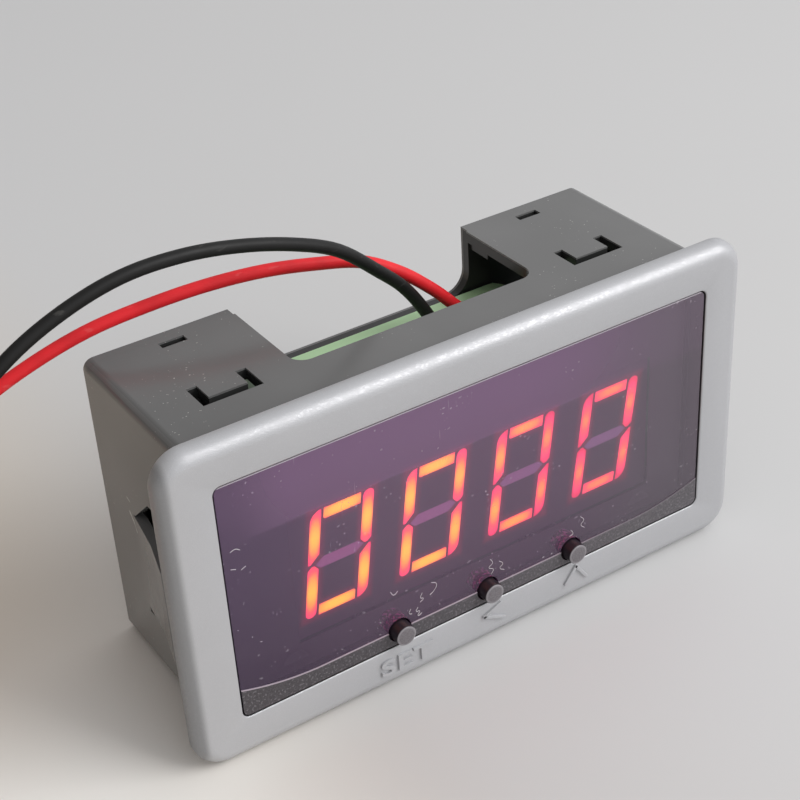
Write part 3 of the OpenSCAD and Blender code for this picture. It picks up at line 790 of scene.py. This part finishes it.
@dataclass(frozen=True)
class Insulation:
    """Soft wire insulation with a faint waviness and pale rub marks."""

    name: str
    colour: Colour
    rub: Colour

    def make(self) -> Material:
        """Make the finish.

        Returns:
            The finished material.
        """
        graph = start(self.name)
        base = graph.mix(graph.noise(5.0).smooth(0.35, 0.65), scaled(self.colour, 0.82), self.colour)
        worn = graph.noise(0.9, 3.0, (3.0, 1.0, 1.0)).smooth(0.62, 0.72)
        return graph.surface(
            Base_Color=graph.mix(worn * 0.12, base, self.rub),
            Roughness=graph.noise(1.4) * 0.14 + 0.42,
            Specular_IOR_Level=0.25,
            Normal=graph.bump(graph.noise(0.8), 0.01),
        )


@dataclass(frozen=True)
class PlatedMetal:
    """Plated or bare metal with fine drawing lines and slight dulling."""

    name: str
    colour: Colour
    roughness: float = 0.28

    def make(self) -> Material:
        """Make the finish.

        Returns:
            The finished material.
        """
        graph = start(self.name)
        dull = graph.noise(1.2, 3.0)
        lines = graph.noise(0.12, 1.0, (8.0, 1.0, 1.0))
        return graph.surface(
            Base_Color=graph.mix(dull.smooth(0.35, 0.7), self.colour, scaled(self.colour, 0.72)),
            Metallic=1.0,
            Roughness=dull * 0.2 + (self.roughness - 0.1),
            Normal=graph.bump(lines, 0.003),
        )


@dataclass(frozen=True)
class SolderMask:
    """Green solder mask with paler copper areas under it."""

    name: str = "board_green"

    def make(self) -> Material:
        """Make the finish.

        Returns:
            The finished material.
        """
        graph = start(self.name)
        tracks = graph.noise(1.6, 0.0, (3.0, 1.0, 1.0)).smooth(0.48, 0.5)
        return graph.surface(
            Base_Color=graph.mix(tracks, (0.02, 0.13, 0.06), (0.035, 0.19, 0.085)),
            Roughness=graph.noise(0.3, 1.0) * 0.1 + 0.3,
            Normal=graph.bump(tracks, 0.03),
        )


@dataclass(frozen=True)
class TableTop:
    """The pale table, with painted shade, darker and warmer, on the left and a painted pool of light in
    front of the meter's left end.
    """

    name: str = "table_top"

    def make(self) -> Material:
        """Make the finish.

        Returns:
            The finished material.
        """
        graph = start(self.name)
        x, y, _ = graph.xyz()
        # Painted shade: the table is painted darker and warmer towards the left, and warmer still beside
        # the meter's left side.
        right = (x + y * 0.5).smooth(-120.0, 20.0)
        left = (-x).smooth(8.0, 60.0) * 0.9
        # Painted light: a pool of light is painted in front of the meter's left end.
        front_left_light = (40.0 - y).smooth(0.0, 40.0) * (-x).smooth(15.0, 50.0) * 0.85
        base = graph.mix(right, (0.54, 0.49, 0.44), (0.61, 0.605, 0.6))
        base = graph.mix(left, base, (0.66, 0.57, 0.46))
        base = graph.mix(front_left_light, base, (0.94, 0.92, 0.88))
        base = graph.mix(graph.noise(60.0) * 0.1, base, (0.7, 0.69, 0.68))
        return graph.surface(Base_Color=base, Roughness=0.55)


# ---------- modelling by hand ----------


def active(obj: Piece) -> None:
    """Select one object alone and make it the active one.

    Args:
        obj: The object.
    """
    bpy.ops.object.select_all(action="DESELECT")
    obj.select_set(True)
    bpy.context.view_layer.objects.active = obj


def linked(name: str, data: bpy.types.ID) -> Piece:
    """Add an object to the scene.

    Args:
        name: The object's name.
        data: The mesh, curve, camera or lamp that it holds.

    Returns:
        The new object.
    """
    made = bpy.data.objects.new(name, data)
    bpy.context.collection.objects.link(made)
    return made


def settle(made: Piece | None = None, **settings: Any) -> Piece:
    """Set an object's properties and put its place, turn and size in its mesh.

    Args:
        made: The object, or None for the one that was added last.
        **settings: Its name, location, rotation_euler or scale.

    Returns:
        The same object.
    """
    made = made or bpy.context.active_object
    for name, value in settings.items():
        setattr(made, name, value)
    active(made)
    bpy.ops.object.transform_apply(location=True, rotation=True, scale=True)
    return made


def block(name: str, low: Point, high: Point) -> Piece:
    """Add a block between two corners.

    Args:
        name: The object's name.
        low: The lowest corner.
        high: The highest corner.

    Returns:
        The new object, with its place in its mesh.
    """
    middle = [(a + b) / 2 * MM for a, b in zip(low, high)]
    bpy.ops.object.select_all(action="DESELECT")
    bpy.ops.mesh.primitive_cube_add(size=1.0, location=middle)
    return settle(name=name, scale=[(b - a) * MM for a, b in zip(low, high)])


def bar(name: str, centre: Point, radius: float, length: float) -> Piece:
    """Add a round bar that lies from front to back.

    Args:
        name: The object's name.
        centre: The bar's middle.
        radius: Its radius.
        length: Its length.

    Returns:
        The new object, with its place in its mesh.
    """
    bpy.ops.object.select_all(action="DESELECT")
    bpy.ops.mesh.primitive_cylinder_add(
        vertices=48,
        radius=radius * MM,
        depth=length * MM,
        location=[c * MM for c in centre],
        rotation=(math.pi / 2, 0.0, 0.0),
    )
    return settle(name=name)


def along_y(a: Vector, b: Vector) -> bool:
    """Return whether an edge of a block runs from front to back."""
    return abs(a.y - b.y) > 0.1


def in_front(depth: float) -> EdgeTest:
    """Return a test of whether both ends of an edge lie at a depth or before it."""
    return lambda a, b: max(a.y, b.y) < depth + 0.01


def bevel_edges(obj: Piece, chosen: EdgeTest, width: float, segments: int) -> None:
    """Round some edges in edit mode.

    Args:
        obj: The object.
        chosen: Says from an edge's two ends whether it is rounded.
        width: The round's size.
        segments: The number of its steps.
    """
    active(obj)
    bpy.ops.object.mode_set(mode="EDIT")
    bpy.ops.mesh.select_mode(type="EDGE")
    bpy.ops.mesh.select_all(action="DESELECT")
    bpy.ops.object.mode_set(mode="OBJECT")
    points = obj.data.vertices
    for edge in obj.data.edges:
        a, b = (points[i].co / MM for i in edge.vertices)
        edge.select = chosen(a, b)
    bpy.ops.object.mode_set(mode="EDIT")
    bpy.ops.mesh.bevel(
        offset=width * MM,
        offset_type="OFFSET",
        segments=segments,
        profile=0.5,
        affect="EDGES",
    )
    bpy.ops.object.mode_set(mode="OBJECT")


def apply_modifier(obj: Piece, kind: str, **settings: Any) -> None:
    """Add a modifier to a piece, set it and apply it.

    Args:
        obj: The piece.
        kind: The modifier's type.
        **settings: Its properties.
    """
    active(obj)
    modifier = obj.modifiers.new(kind.lower(), kind)
    for name, value in settings.items():
        setattr(modifier, name, value)
    bpy.ops.object.modifier_apply(modifier=modifier.name)


def cut(obj: Piece, cutter: Piece) -> None:
    """Cut another piece's shape out of this one and delete the cutter."""
    apply_modifier(obj, "BOOLEAN", operation="DIFFERENCE", object=cutter, solver="EXACT")
    bpy.data.objects.remove(cutter)


def join(name: str, parts: Iterable[Piece]) -> Piece:
    """Join objects into one.

    Args:
        name: The joined object's name.
        parts: The objects.

    Returns:
        The joined object.
    """
    found = list(parts)
    active(found[0])
    for part in found:
        part.select_set(True)
    bpy.ops.object.join()
    made = bpy.context.active_object
    made.name = name
    return made


def smooth(obj: Piece, angle: float = SHARP) -> None:
    """Shade a piece smooth across edges under an angle in degrees."""
    active(obj)
    bpy.ops.object.shade_smooth_by_angle(angle=math.radians(angle))


def soften(obj: Piece, width: float, segments: int = 2) -> None:
    """Round every sharp edge a little, as a mould does.

    Args:
        obj: The object.
        width: The round's size.
        segments: The number of its steps.
    """
    smooth(obj)
    apply_modifier(
        obj,
        "BEVEL",
        width=width * MM,
        segments=segments,
        limit_method="ANGLE",
        angle_limit=math.radians(SHARP),
        miter_outer="MITER_ARC",
        use_clamp_overlap=True,
        harden_normals=True,
    )
    apply_modifier(obj, "WEIGHTED_NORMAL", mode="FACE_AREA", weight=100, keep_sharp=True)


def moulded_copy(node: str, name: str, width: float) -> Piece:
    """Copy a CAD node, merge its doubled points and round its sharp edges.

    Args:
        node: The CAD node.
        name: The copy's name.
        width: The round's size.

    Returns:
        The copy, which replaces the node.
    """
    made = linked(name, bpy.data.objects[node].data.copy())
    active(made)
    bpy.ops.object.mode_set(mode="EDIT")
    bpy.ops.mesh.select_all(action="SELECT")
    bpy.ops.mesh.remove_doubles(threshold=0.000002)
    bpy.ops.object.mode_set(mode="OBJECT")
    soften(made, width)
    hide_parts(node)
    return made


def new_curve(name: str, radius: float, around: int, between: int) -> bpy.types.Curve:
    """Return an empty curve with a round section.

    Args:
        name: The curve's name.
        radius: The section's radius.
        around: How finely the section is divided.
        between: How finely the way between two knots is divided.

    Returns:
        The curve.
    """
    data = bpy.data.curves.new(name, "CURVE")
    data.dimensions = "3D"
    data.bevel_depth = radius * MM
    data.bevel_resolution = around
    data.resolution_u = between
    return data


def new_knots(data: bpy.types.Curve, places: Sequence[Vector]) -> Sequence[bpy.types.BezierSplinePoint]:
    """Add an open spline to a curve.

    Args:
        data: The curve.
        places: The places of the spline's knots.

    Returns:
        The knots.
    """
    knots = data.splines.new("BEZIER").bezier_points
    knots.add(len(places) - 1)
    for knot, place in zip(knots, places):
        knot.co = place
    return knots


def dress(obj: Piece, material: Material, body: str = "meter") -> Piece:
    """Give a piece its finish and the body that it moves with.

    Args:
        obj: The piece.
        material: Its material.
        body: The body.

    Returns:
        The same piece.
    """
    obj.data.materials.clear()
    obj.data.materials.append(material)
    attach(obj, body)
    return obj


# ---------- sub-assemblies ----------


@dataclass
class Bezel:
    """The silver front frame with its tongues and its raised button marks.

    Attributes:
        corner: The radius of the frame's corners, seen from the front.
        tongues: The middle, half the width and the underside of each tongue at the back.
        word_box: The lower left and the upper right corner of the word.
        arrows: Each arrow's end, tip and other end.
    """

    width: float = BEZEL_W
    height: float = BEZEL_H
    depth: float = BEZEL_T
    corner: float = 4.0
    front_round: float = 1.9
    window: Spot = (WINDOW_W, WINDOW_H)
    window_z: float = WINDOW_Z
    window_round: float = 1.0
    tongues: tuple[Point, ...] = ((-12, 5, 16.9), (12, 5, 16.9), (-22, 3, -17.8), (22, 3, -17.8))
    tongue_t: float = 0.9
    tongue_l: float = 4.0
    mark_rise: float = 0.3
    mark_stroke: float = 0.46
    word_box: tuple[Spot, Spot] = ((-15.4, -19.1), (-8.1, -16.8))
    arrows: tuple[tuple[Spot, Spot, Spot], ...] = (
        ((2.0, -16.2), (-0.5, -17.3), (2.4, -18.6)),
        ((12.0, -18.3), (13.6, -16.2), (15.2, -18.4)),
    )

    def frame_piece(self) -> Piece:
        """Model the frame from a block, with its rounds, window and tongues.

        Returns:
            The frame.
        """
        w, h = self.width / 2, self.height / 2
        made = block("bezel_frame", (-w, -self.depth, -h), (w, 0.0, h))
        bevel_edges(made, along_y, self.corner, 20)
        bevel_edges(made, in_front(-self.depth), self.front_round, 12)
        bevel_edges(made, lambda a, b: min(a.y, b.y) > -0.01, 0.15, 2)
        half_w, half_h = self.window[0] / 2, self.window[1] / 2
        low = (-half_w, -self.depth - 1, self.window_z - half_h)
        hole = block("window_cutter", low, (half_w, 1.0, self.window_z + half_h))
        bevel_edges(hole, along_y, self.window_round, 8)
        cut(made, hole)

        def on_lip(a: Vector, b: Vector) -> bool:
            """Return whether an edge lies round the window's front."""
            near = all(abs(p.x) < half_w + 0.1 and abs(p.z) < half_h + 0.5 for p in (a, b))
            return near and in_front(-self.depth)(a, b)

        bevel_edges(made, on_lip, 0.2, 3)
        smooth(made, 35.0)
        tongues = []
        for x, half, z in self.tongues:
            tongue = block("tongue", (x - half, -0.1, z), (x + half, self.tongue_l, z + self.tongue_t))
            soften(tongue, 0.15)
            tongues.append(tongue)
        return join("bezel_frame", [made, *tongues])

    def stroke(self, a: Spot, b: Spot) -> Piece:
        """Model one raised stroke between two points of the front plane.

        Args:
            a: The first end's x and z.
            b: The second end's x and z.

        Returns:
            The stroke.
        """
        run, rise = b[0] - a[0], b[1] - a[1]
        half = self.mark_stroke / 2
        end = math.hypot(run, rise) + half
        made = block("stroke", (-half, -self.mark_rise, -half), (end, 0.02, half))
        bevel_edges(made, along_y, half * 0.9, 4)
        bevel_edges(made, in_front(-self.mark_rise), 0.06, 2)
        turn = Euler((0.0, -math.atan2(rise, run), 0.0))
        settle(made, rotation_euler=turn, location=(a[0] * MM, -self.depth * MM, a[1] * MM))
        smooth(made)
        return made

    def word(self) -> Piece:
        """Model the raised word beside the first button.

        Returns:
            The word.
        """
        edge = 0.03
        bpy.ops.object.select_all(action="DESELECT")
        bpy.ops.object.text_add(rotation=(math.pi / 2, 0.0, 0.0))
        text = bpy.context.active_object.data
        text.body = "SET"
        text.size = 3.0 * MM
        text.space_character = 1.06
        text.extrude = self.mark_rise * MM / 2
        text.bevel_depth = edge * MM
        text.bevel_resolution = 1
        text.offset = edge * MM
        bpy.ops.object.convert(target="MESH")
        made = settle()
        xs = [v.co.x for v in made.data.vertices]
        zs = [v.co.z for v in made.data.vertices]
        (left, foot), (right, head) = self.word_box
        wide = (right - left) * MM / (max(xs) - min(xs))
        tall = (head - foot) * MM / (max(zs) - min(zs))
        depth = self.depth + self.mark_rise / 2 - edge
        place = (left * MM - min(xs) * wide, -depth * MM, foot * MM - min(zs) * tall)
        settle(made, scale=(wide, 1.0, tall), location=place)
        smooth(made, 40.0)
        return made

    def build(self, plastic: Material) -> list[Piece]:
        """Build and dress the bezel.

        Args:
            plastic: Its finish.

        Returns:
            The pieces.
        """
        bezel = self.frame_piece()
        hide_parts("front_bezel")
        strokes = [self.stroke(a, b) for arrow in self.arrows for a, b in zip(arrow, arrow[1:])]
        marks = join("button_marks", [self.word(), *strokes])
        return [dress(piece, plastic) for piece in (bezel, marks)]


@dataclass
class Buttons:
    """The three long-stemmed push buttons.

    Attributes:
        keys: Each button's body and its CAD node, from left to right.
        front: The depth of the stems' front ends.
        flange_r: The radius of the discs at their back ends.
        flange_t: The discs' thickness.
    """

    keys: tuple[tuple[str, str], ...] = (
        ("set_key", "set_button"),
        ("shift_key", "shift_button"),
        ("up_key", "up_button"),
    )
    first_x: float = BUTTON_X - BUTTON_PITCH
    pitch: float = BUTTON_PITCH
    axis_z: float = BUTTON_Z
    radius: float = 1.35
    front: float = -3.8
    end_round: float = 0.22
    flange_r: float = 1.65
    flange_t: float = 0.6

    def build(self, plastic: Material) -> list[Piece]:
        """Model each button with its rounded, worn end.

        Args:
            plastic: Their finish.

        Returns:
            The three buttons.
        """
        made = []
        for i, (body, node) in enumerate(self.keys):
            x = self.first_x + i * self.pitch
            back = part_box(node)[1][1] / MM
            flange = back - self.flange_t
            stem_l = flange - self.front
            stem = bar("stem", (x, self.front + stem_l / 2, self.axis_z), self.radius, stem_l)
            bevel_edges(stem, in_front(self.front), self.end_round, 4)
            disc = bar("disc", (x, (flange + back) / 2, self.axis_z), self.flange_r, back - flange)
            soften(disc, 0.06)
            smooth(stem, 35.0)
            button = join(f"{node}_cap", [stem, disc])
            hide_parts(node)
            made.append(dress(button, plastic, body))
        return made


@dataclass
class Housing:
    """The case and its rear cover, with the mould's soft edges."""

    edge: float = 0.22

    def build(self, case: Material, cover: Material) -> list[Piece]:
        """Copy, soften and dress the two mouldings.

        Args:
            case: The case's finish.
            cover: The cover's finish.

        Returns:
            The two pieces.
        """
        shell = moulded_copy("case_body", "case_moulding", self.edge)
        back = moulded_copy("rear_cover", "cover_moulding", self.edge)
        return [dress(shell, case), dress(back, cover)]


class Side(Enum):
    """The side of a coil, seen from the meter's front, on which its wire joins it."""

    FAR = 1
    NEAR = -1


@dataclass
class Wire:
    """One insulated wire from its terminal to its coil, with a bare end and a tie.

    Attributes:
        name: The wire's name and the start of its CAD nodes' names.
        route: The points it follows.
        coil_at: The coil's middle on the table.
        side: The side on which the wire joins the coil.
        tie_angle: The tie's place round the coil, in degrees.
        steps: The points of one turn of the coil.
        coil_r: The coil's radius at the middle of its turns.
        tail: The straight piece that leaves the coil.
        tie_half: Half the tie's width.
        tie_out: How far the tie's loop stands out from the coil.
        tie_in: How deep the tie's loop presses into the coil.
        ear_turns: The turns of the tie's two twisted ends.
    """

    name: str
    route: list[Point]
    coil_at: Spot
    side: Side
    tie_angle: float
    turns: float = 3.5
    steps: int = 16
    coil_r: float = 9.0
    diameter: float = 1.6
    tail: float = 4.8
    tie_half: float = 1.1
    tie_out: float = 0.22
    tie_in: float = 0.02
    ear_turns: tuple[Point, ...] = ((0.3, 0.25, 0.55), (-0.3, -0.25, -0.35))

    def foot(self) -> Vector:
        """Return the coil's middle on the table."""
        return Vector((*self.coil_at, table_z(self.coil_at[1])))

    def coil_points(self) -> list[Vector]:
        """Work out the coil's points, from its top turn to the table.

        Returns:
            The points.
        """
        count = round(self.turns * self.steps)
        rise = self.turns * self.diameter
        points = []
        for i in range(1, count + 1):
            angle = self.side.value * (math.pi / 2 + 2 * math.pi * i / self.steps)
            height = self.diameter / 2 + rise * (1 - i / count)
            flat = Vector((self.coil_r * math.cos(angle), self.coil_r * math.sin(angle), height))
            points.append(self.foot() + LEAN_TURN @ flat)
        return points

    def points(self) -> list[Vector]:
        """Return every point of the wire in order."""
        whole = [Vector(p) for p in self.route] + self.coil_points()
        return whole + [whole[-1] + Vector((self.tail, 0.0, 0.0))]

    def curve(self) -> Piece:
        """Model the wire as one smooth open curve.

        Returns:
            The curve.
        """
        places = [p * MM for p in self.points()]
        data = new_curve(f"{self.name}_lead", self.diameter / 2, 5, 6)
        data.use_fill_caps = True
        last = len(places) - 1
        for i, (knot, place) in enumerate(zip(new_knots(data, places), places)):
            before, after = places[max(i - 1, 0)], places[min(i + 1, last)]
            away = (after - before).normalized()
            knot.handle_left_type = knot.handle_right_type = "FREE"
            knot.handle_left = place - away * ((place - before).length / 3)
            knot.handle_right = place + away * ((after - place).length / 3)
        return linked(f"{self.name}_lead", data)

    def length(self) -> float:
        """Return the wire's length."""
        places = self.points()
        return sum((b - a).length for a, b in zip(places, places[1:]))

    def ear(self, turn: Point, height: float) -> Piece:
        """Model one of the tie's twisted ends.

        Args:
            turn: Its turn about each axis.
            height: The height of its root.

        Returns:
            The end.
        """
        made = block("ear", (0.0, -0.9, -0.09), (3.4, 0.9, 0.09))
        bevel_edges(made, lambda a, b: abs(a.z - b.z) > 0.1, 0.5, 3)
        place = ((self.coil_r + 0.1) * MM, 0.0, height * MM)
        settle(made, rotation_euler=Euler(turn), location=place)
        soften(made, 0.05, 1)
        return made

    def tie(self) -> Piece:
        """Model the paper-covered tie that holds the coil, a loop with two twisted ends.

        Returns:
            The tie.
        """
        high = (self.turns + 1) * self.diameter
        near, far = self.coil_r - self.diameter / 2, self.coil_r + self.diameter / 2
        out, inset, half = self.tie_out, self.tie_in, self.tie_half
        made = block(f"{self.name}_tie", (near - out, -half, -0.1), (far + out, half, high + out))
        inner = block("tie_cutter", (near + inset, -2.0, inset), (far - inset, 2.0, high - inset))
        bevel_edges(made, along_y, 0.5, 4)
        cut(made, inner)
        ears = [self.ear(turn, high + 0.3) for turn in self.ear_turns]
        soften(made, 0.05, 1)
        made = join(f"{self.name}_tie", [made, *ears])
        turn = LEAN_TURN @ Matrix.Rotation(math.radians(self.tie_angle), 3, "Z")
        return settle(made, rotation_euler=turn.to_euler(), location=self.foot() * MM)

    def build(self, insulation: Material, paper: Material) -> list[Piece]:
        """Args:
            insulation: The wire's finish.
            paper: The tie's finish.

        Returns:
            The two pieces.
        """
        lead = self.curve()
        tie = self.tie()
        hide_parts(f"{self.name}_wire", f"{self.name}_coil")
        dress(lead, insulation)
        dress(tie, paper)
        round(self.length() * MM, 3)
        return [lead, tie]


@dataclass
class Lint:
    """Curled fibres that dust has left on the lens round the buttons.

    Attributes:
        fibres: The points of each fibre, seen from the front.
        curl: How far every other point stands out from the lens.
    """

    fibres: list[list[Spot]]
    radius: float = 0.035
    curl: float = 0.05

    def build(self, fluff: Material) -> list[Piece]:
        """Model the fibres as one piece.

        Args:
            fluff: Their finish.

        Returns:
            The piece.
        """
        data = new_curve("lens_lint", self.radius, 1, 5)
        face = LENS_FRONT + 0.01
        for fibre in self.fibres:
            places = [Vector((x, face - self.curl * (i % 2), z)) * MM for i, (x, z) in enumerate(fibre)]
            for knot in new_knots(data, places):
                knot.handle_left_type = knot.handle_right_type = "AUTO"
        active(linked("lens_lint", data))
        bpy.ops.object.convert(target="MESH")
        made = bpy.context.active_object
        smooth(made)
        return [dress(made, fluff)]


# ---------- studio ----------


@dataclass
class Studio:
    """The camera, the table and the lights.

    Attributes:
        eye: Where the camera stands. Its angles are in radians.
        lamp_at: Where the square lamp stands, which points at the meter.
        lamp_power: Its power in watts.
    """

    eye: Point = (-89.761, -132.320, 114.995)
    azimuth: float = -0.54867
    elevation: float = 0.56803
    roll: float = -0.06395
    lens: float = 75.514
    lamp_at: Point = (420.0, -450.0, 480.0)
    lamp_size: float = 480.0
    lamp_power: float = 3.7
    lamp_colour: Colour = (1.0, 0.995, 0.99)

    def camera(self) -> None:
        """Add the camera."""
        a, e, r = self.azimuth, self.elevation, self.roll
        back = Vector((math.sin(a) * math.cos(e), -math.cos(a) * math.cos(e), math.sin(e)))
        right = (-back).cross(Vector((0, 0, 1))).normalized()
        up = right.cross(-back)
        side = right * math.cos(r) + up * math.sin(r)
        top = up * math.cos(r) - right * math.sin(r)
        data = bpy.data.cameras.new("camera")
        data.lens = self.lens
        data.sensor_width = 36.0
        data.clip_start, data.clip_end = 0.005, 20.0
        made = linked("camera", data)
        turn = Matrix((side, top, back)).transposed().to_4x4()
        made.matrix_world = Matrix.Translation(Vector(self.eye) * MM) @ turn
        bpy.context.scene.camera = made

    def table(self, top: Material) -> None:
        """Add the table that the meter leans back on.

        Args:
            top: Its finish.
        """
        bpy.ops.object.select_all(action="DESELECT")
        bpy.ops.mesh.primitive_plane_add(size=6.0)
        place = (0.0, 0.0, (table_z(0.0) - 0.1) * MM)
        turn = Euler((math.atan(LEAN), 0.0, 0.0))
        made = settle(name="table", rotation_euler=turn, location=place)
        made.data.materials.append(top)

    def lamp(self) -> None:
        """Add the soft lamp that stands for the window."""
        data = bpy.data.lights.new("window_lamp", "AREA")
        data.shape = "SQUARE"
        data.size = self.lamp_size * MM
        data.energy = self.lamp_power
        data.color = self.lamp_colour
        place = Vector(self.lamp_at)
        made = linked("window_lamp", data)
        made.location = place * MM
        made.rotation_euler = (-place).to_track_quat("-Z", "Y").to_euler()

    def world(self) -> None:
        """Set the room's light, which is dimmer and warmer at the back on the left."""
        room = bpy.data.worlds.new("room")
        bpy.context.scene.world = room
        graph = Graph(room)
        x, y, _ = graph.parts(graph.node("ShaderNodeTexCoord").outputs["Generated"])
        front = graph.node("ShaderNodeMapRange", {}, {0: y * -0.75 + x, 1: -0.9, 2: 0.6}).outputs[0]
        light = graph.mix(front, (0.31, 0.29, 0.27), (1.12, 1.14, 1.18))
        shade = graph.node("ShaderNodeBackground", {}, {"Color": light, "Strength": 0.8})
        graph.node("ShaderNodeOutputWorld", {}, {"Surface": shade.outputs[0]})

    def build(self, top: Material) -> None:
        """Set the whole stage.

        Args:
            top: The table's finish.
        """
        bpy.context.scene.view_settings.view_transform = "Standard"
        self.camera()
        self.table(top)
        self.world()
        self.lamp()


# ---------- the meter ----------


BLACK_ROUTE: list[Point] = [
    (7.62, 17.5, 8), (7.45, 17.5, 11.2), (6.2, 17.5, 14.1), (3.1, 17.1, 18.6), (-0.3, 16.7, 22),
    (-6, 16, 27), (-12, 15.4, 30), (-19, 14.9, 32.3), (-26, 14.5, 33.6), (-33, 14.5, 33.5),
    (-40, 14.5, 31.7), (-46.5, 14.5, 28.6), (-53, 14.5, 23.5), (-58.5, 14.4, 16.5),
    (-62.5, 14.2, 8), (-65.5, 14, -1), (-69, 13.6, -8.5), (-74, 13.2, -12.8),
    (-80, 13, -13.9), (-84, 13, -13.9),
]
RED_ROUTE: list[Point] = [
    (12.7, 17.5, 8), (12.3, 17.5, 11.2), (9.9, 17.6, 14.1), (7.3, 17.9, 16.8), (3.6, 18.5, 19.9),
    (-1.2, 19.3, 22.6), (-6.5, 20.1, 23.8), (-13, 21.2, 24.6), (-20, 22.4, 24.6), (-27, 23.6, 23.9),
    (-34, 24.8, 22.6), (-41, 26, 20.1), (-47, 27.2, 16.9), (-52.5, 28.5, 12.5),
    (-57, 29.7, 6.5), (-61, 31, -0.5), (-65, 32.4, -6.8), (-70, 33.5, -10.9), (-76, 34, -12.2),
    (-82, 34, -12.2),
]

FIBRES: list[list[Spot]] = [
    [(-7.6, -8.7), (-6.9, -9.2), (-7.2, -10.0), (-7.9, -10.4)],
    [(-8.9, -9.6), (-9.2, -10.2), (-8.8, -10.5), (-9.3, -10.8)],
    [(-13.2, -7.4), (-12.8, -8.0), (-12.2, -7.7)],
    [(-9.6, -11.4), (-9.9, -11.9), (-9.4, -12.1), (-9.7, -12.6), (-9.1, -12.5)],
    [(-10.6, -11.2), (-10.9, -11.7), (-10.5, -12.0)],
    [(0.9, -9.3), (1.2, -10.0), (0.7, -10.5), (1.3, -11.0), (1.0, -11.6)],
    [(2.2, -10.2), (2.7, -10.8), (2.3, -11.3), (2.9, -11.8)],
    [(14.6, -9.2), (15.1, -9.9), (14.7, -10.5), (15.2, -11.1)],
    [(13.1, -10.6), (13.4, -11.2), (12.9, -11.5)],
    [(-32.4, 7.4), (-31.8, 7.6), (-31.2, 7.2)],
    [(-32.6, 5.2), (-32.0, 5.0)],
    [(-31.4, 4.6), (-30.8, 4.9)],
]


# The CAD nodes that stay, by the short name of their finish.
NODES: dict[str, tuple[str, ...]] = {
    "lens": ("display_window",),
    "face": ("display_module",),
    "lit": ("lit_segments",),
    "unlit": ("unlit_segments",),
    "board": ("display_board", "main_board"),
    "black": (
        "switch_bases",
        "link_strips",
        "driver_chips",
        "controller_chip",
        "voltage_regulator",
        "resistors",
    ),
    "tin": (
        "display_pins",
        "switch_covers",
        "crystal",
        "socket_pins",
        "terminal_clamps",
        "black_strand",
        "red_strand",
    ),
    "brass": ("switch_domes", "link_pins"),
    "sleeve": ("capacitors",),
    "green": ("terminal_socket", "terminal_plug"),
    "screw": ("terminal_screws",),
}


def dress_inside(finishes: Mapping[str, Material]) -> None:
    """Give every CAD node that stays its finish.

    Args:
        finishes: The materials by the short name of their finish.
    """
    for finish, nodes in NODES.items():
        for node in nodes:
            obj = bpy.data.objects[node]
            for place in obj.material_slots:
                place.material = finishes[finish]
            if not obj.material_slots:
                obj.data.materials.append(finishes[finish])
            LOG.info("node %s wears %s", node, finish)


def make_finishes() -> dict[str, Material]:
    """Make every finish of the meter.

    Returns:
        The materials by their short names.
    """
    finishes = {
        "bezel": BezelPlastic(
            "bezel_silver",
            (0.46, 0.46, 0.472),
            grain=0.12,
            grain_depth=0.022,
            flake=0.12,
            mottling=0.02,
            metal=0.3,
        ),
        "case": CasePlastic(),
        "cover": CasePlastic("cover_grey"),
        "lens": SmokyLens(),
        "lit": LitSegments(),
        "unlit": DarkSegments(),
        "face": DisplayFace(),
        "button": ButtonPlastic(),
        "black": MouldedPlastic("black_plastic", (0.022, 0.022, 0.023), 0.5, 0.2, 0.008, mottling=0.15),
        "green": TerminalPlastic("terminal_green", (0.42, 0.63, 0.36), 0.4, 0.4, mottling=0.12),
        "sleeve": MouldedPlastic("capacitor_sleeve", (0.02, 0.03, 0.1), 0.3, 0.5, 0.004, mottling=0.1),
        "fluff": MouldedPlastic("lint_fluff", (0.6, 0.57, 0.58), 0.8, 0.1, 0.01),
        "board": SolderMask(),
        "tin": PlatedMetal("tinned_pin", (0.72, 0.71, 0.69)),
        "brass": PlatedMetal("brass_pin", (0.8, 0.62, 0.32)),
        "screw": PlatedMetal("screw_steel", (0.62, 0.62, 0.6), 0.34),
        "black_wire": Insulation("black_insulation", (0.011, 0.0105, 0.010), (0.25, 0.24, 0.22)),
        "red_wire": Insulation("red_insulation", (0.82, 0.022, 0.03), (0.9, 0.3, 0.28)),
    }
    return {name: finish.make() for name, finish in finishes.items()}


def main() -> None:
    """Build the stage and every sub-assembly in order."""
    logging.basicConfig(level=logging.INFO, format="%(name)s %(message)s")
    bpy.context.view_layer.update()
    Studio().build(TableTop().make())
    finishes = make_finishes()
    black = Wire("black", BLACK_ROUTE, (-84.0, 4.0), Side.FAR, 200.0)
    red = Wire("red", RED_ROUTE, (-82.0, 43.0), Side.NEAR, 150.0)
    made = black.build(finishes["black_wire"], finishes["black"])
    made += red.build(finishes["red_wire"], finishes["black"])
    made += Bezel().build(finishes["bezel"])
    made += Buttons().build(finishes["button"])
    made += Housing().build(finishes["case"], finishes["cover"])
    made += Lint(FIBRES).build(finishes["fluff"])
    dress_inside(finishes)
    for piece in made:
        LOG.info("piece %s is built", piece.name)


if __name__ == "__main__":
    main()
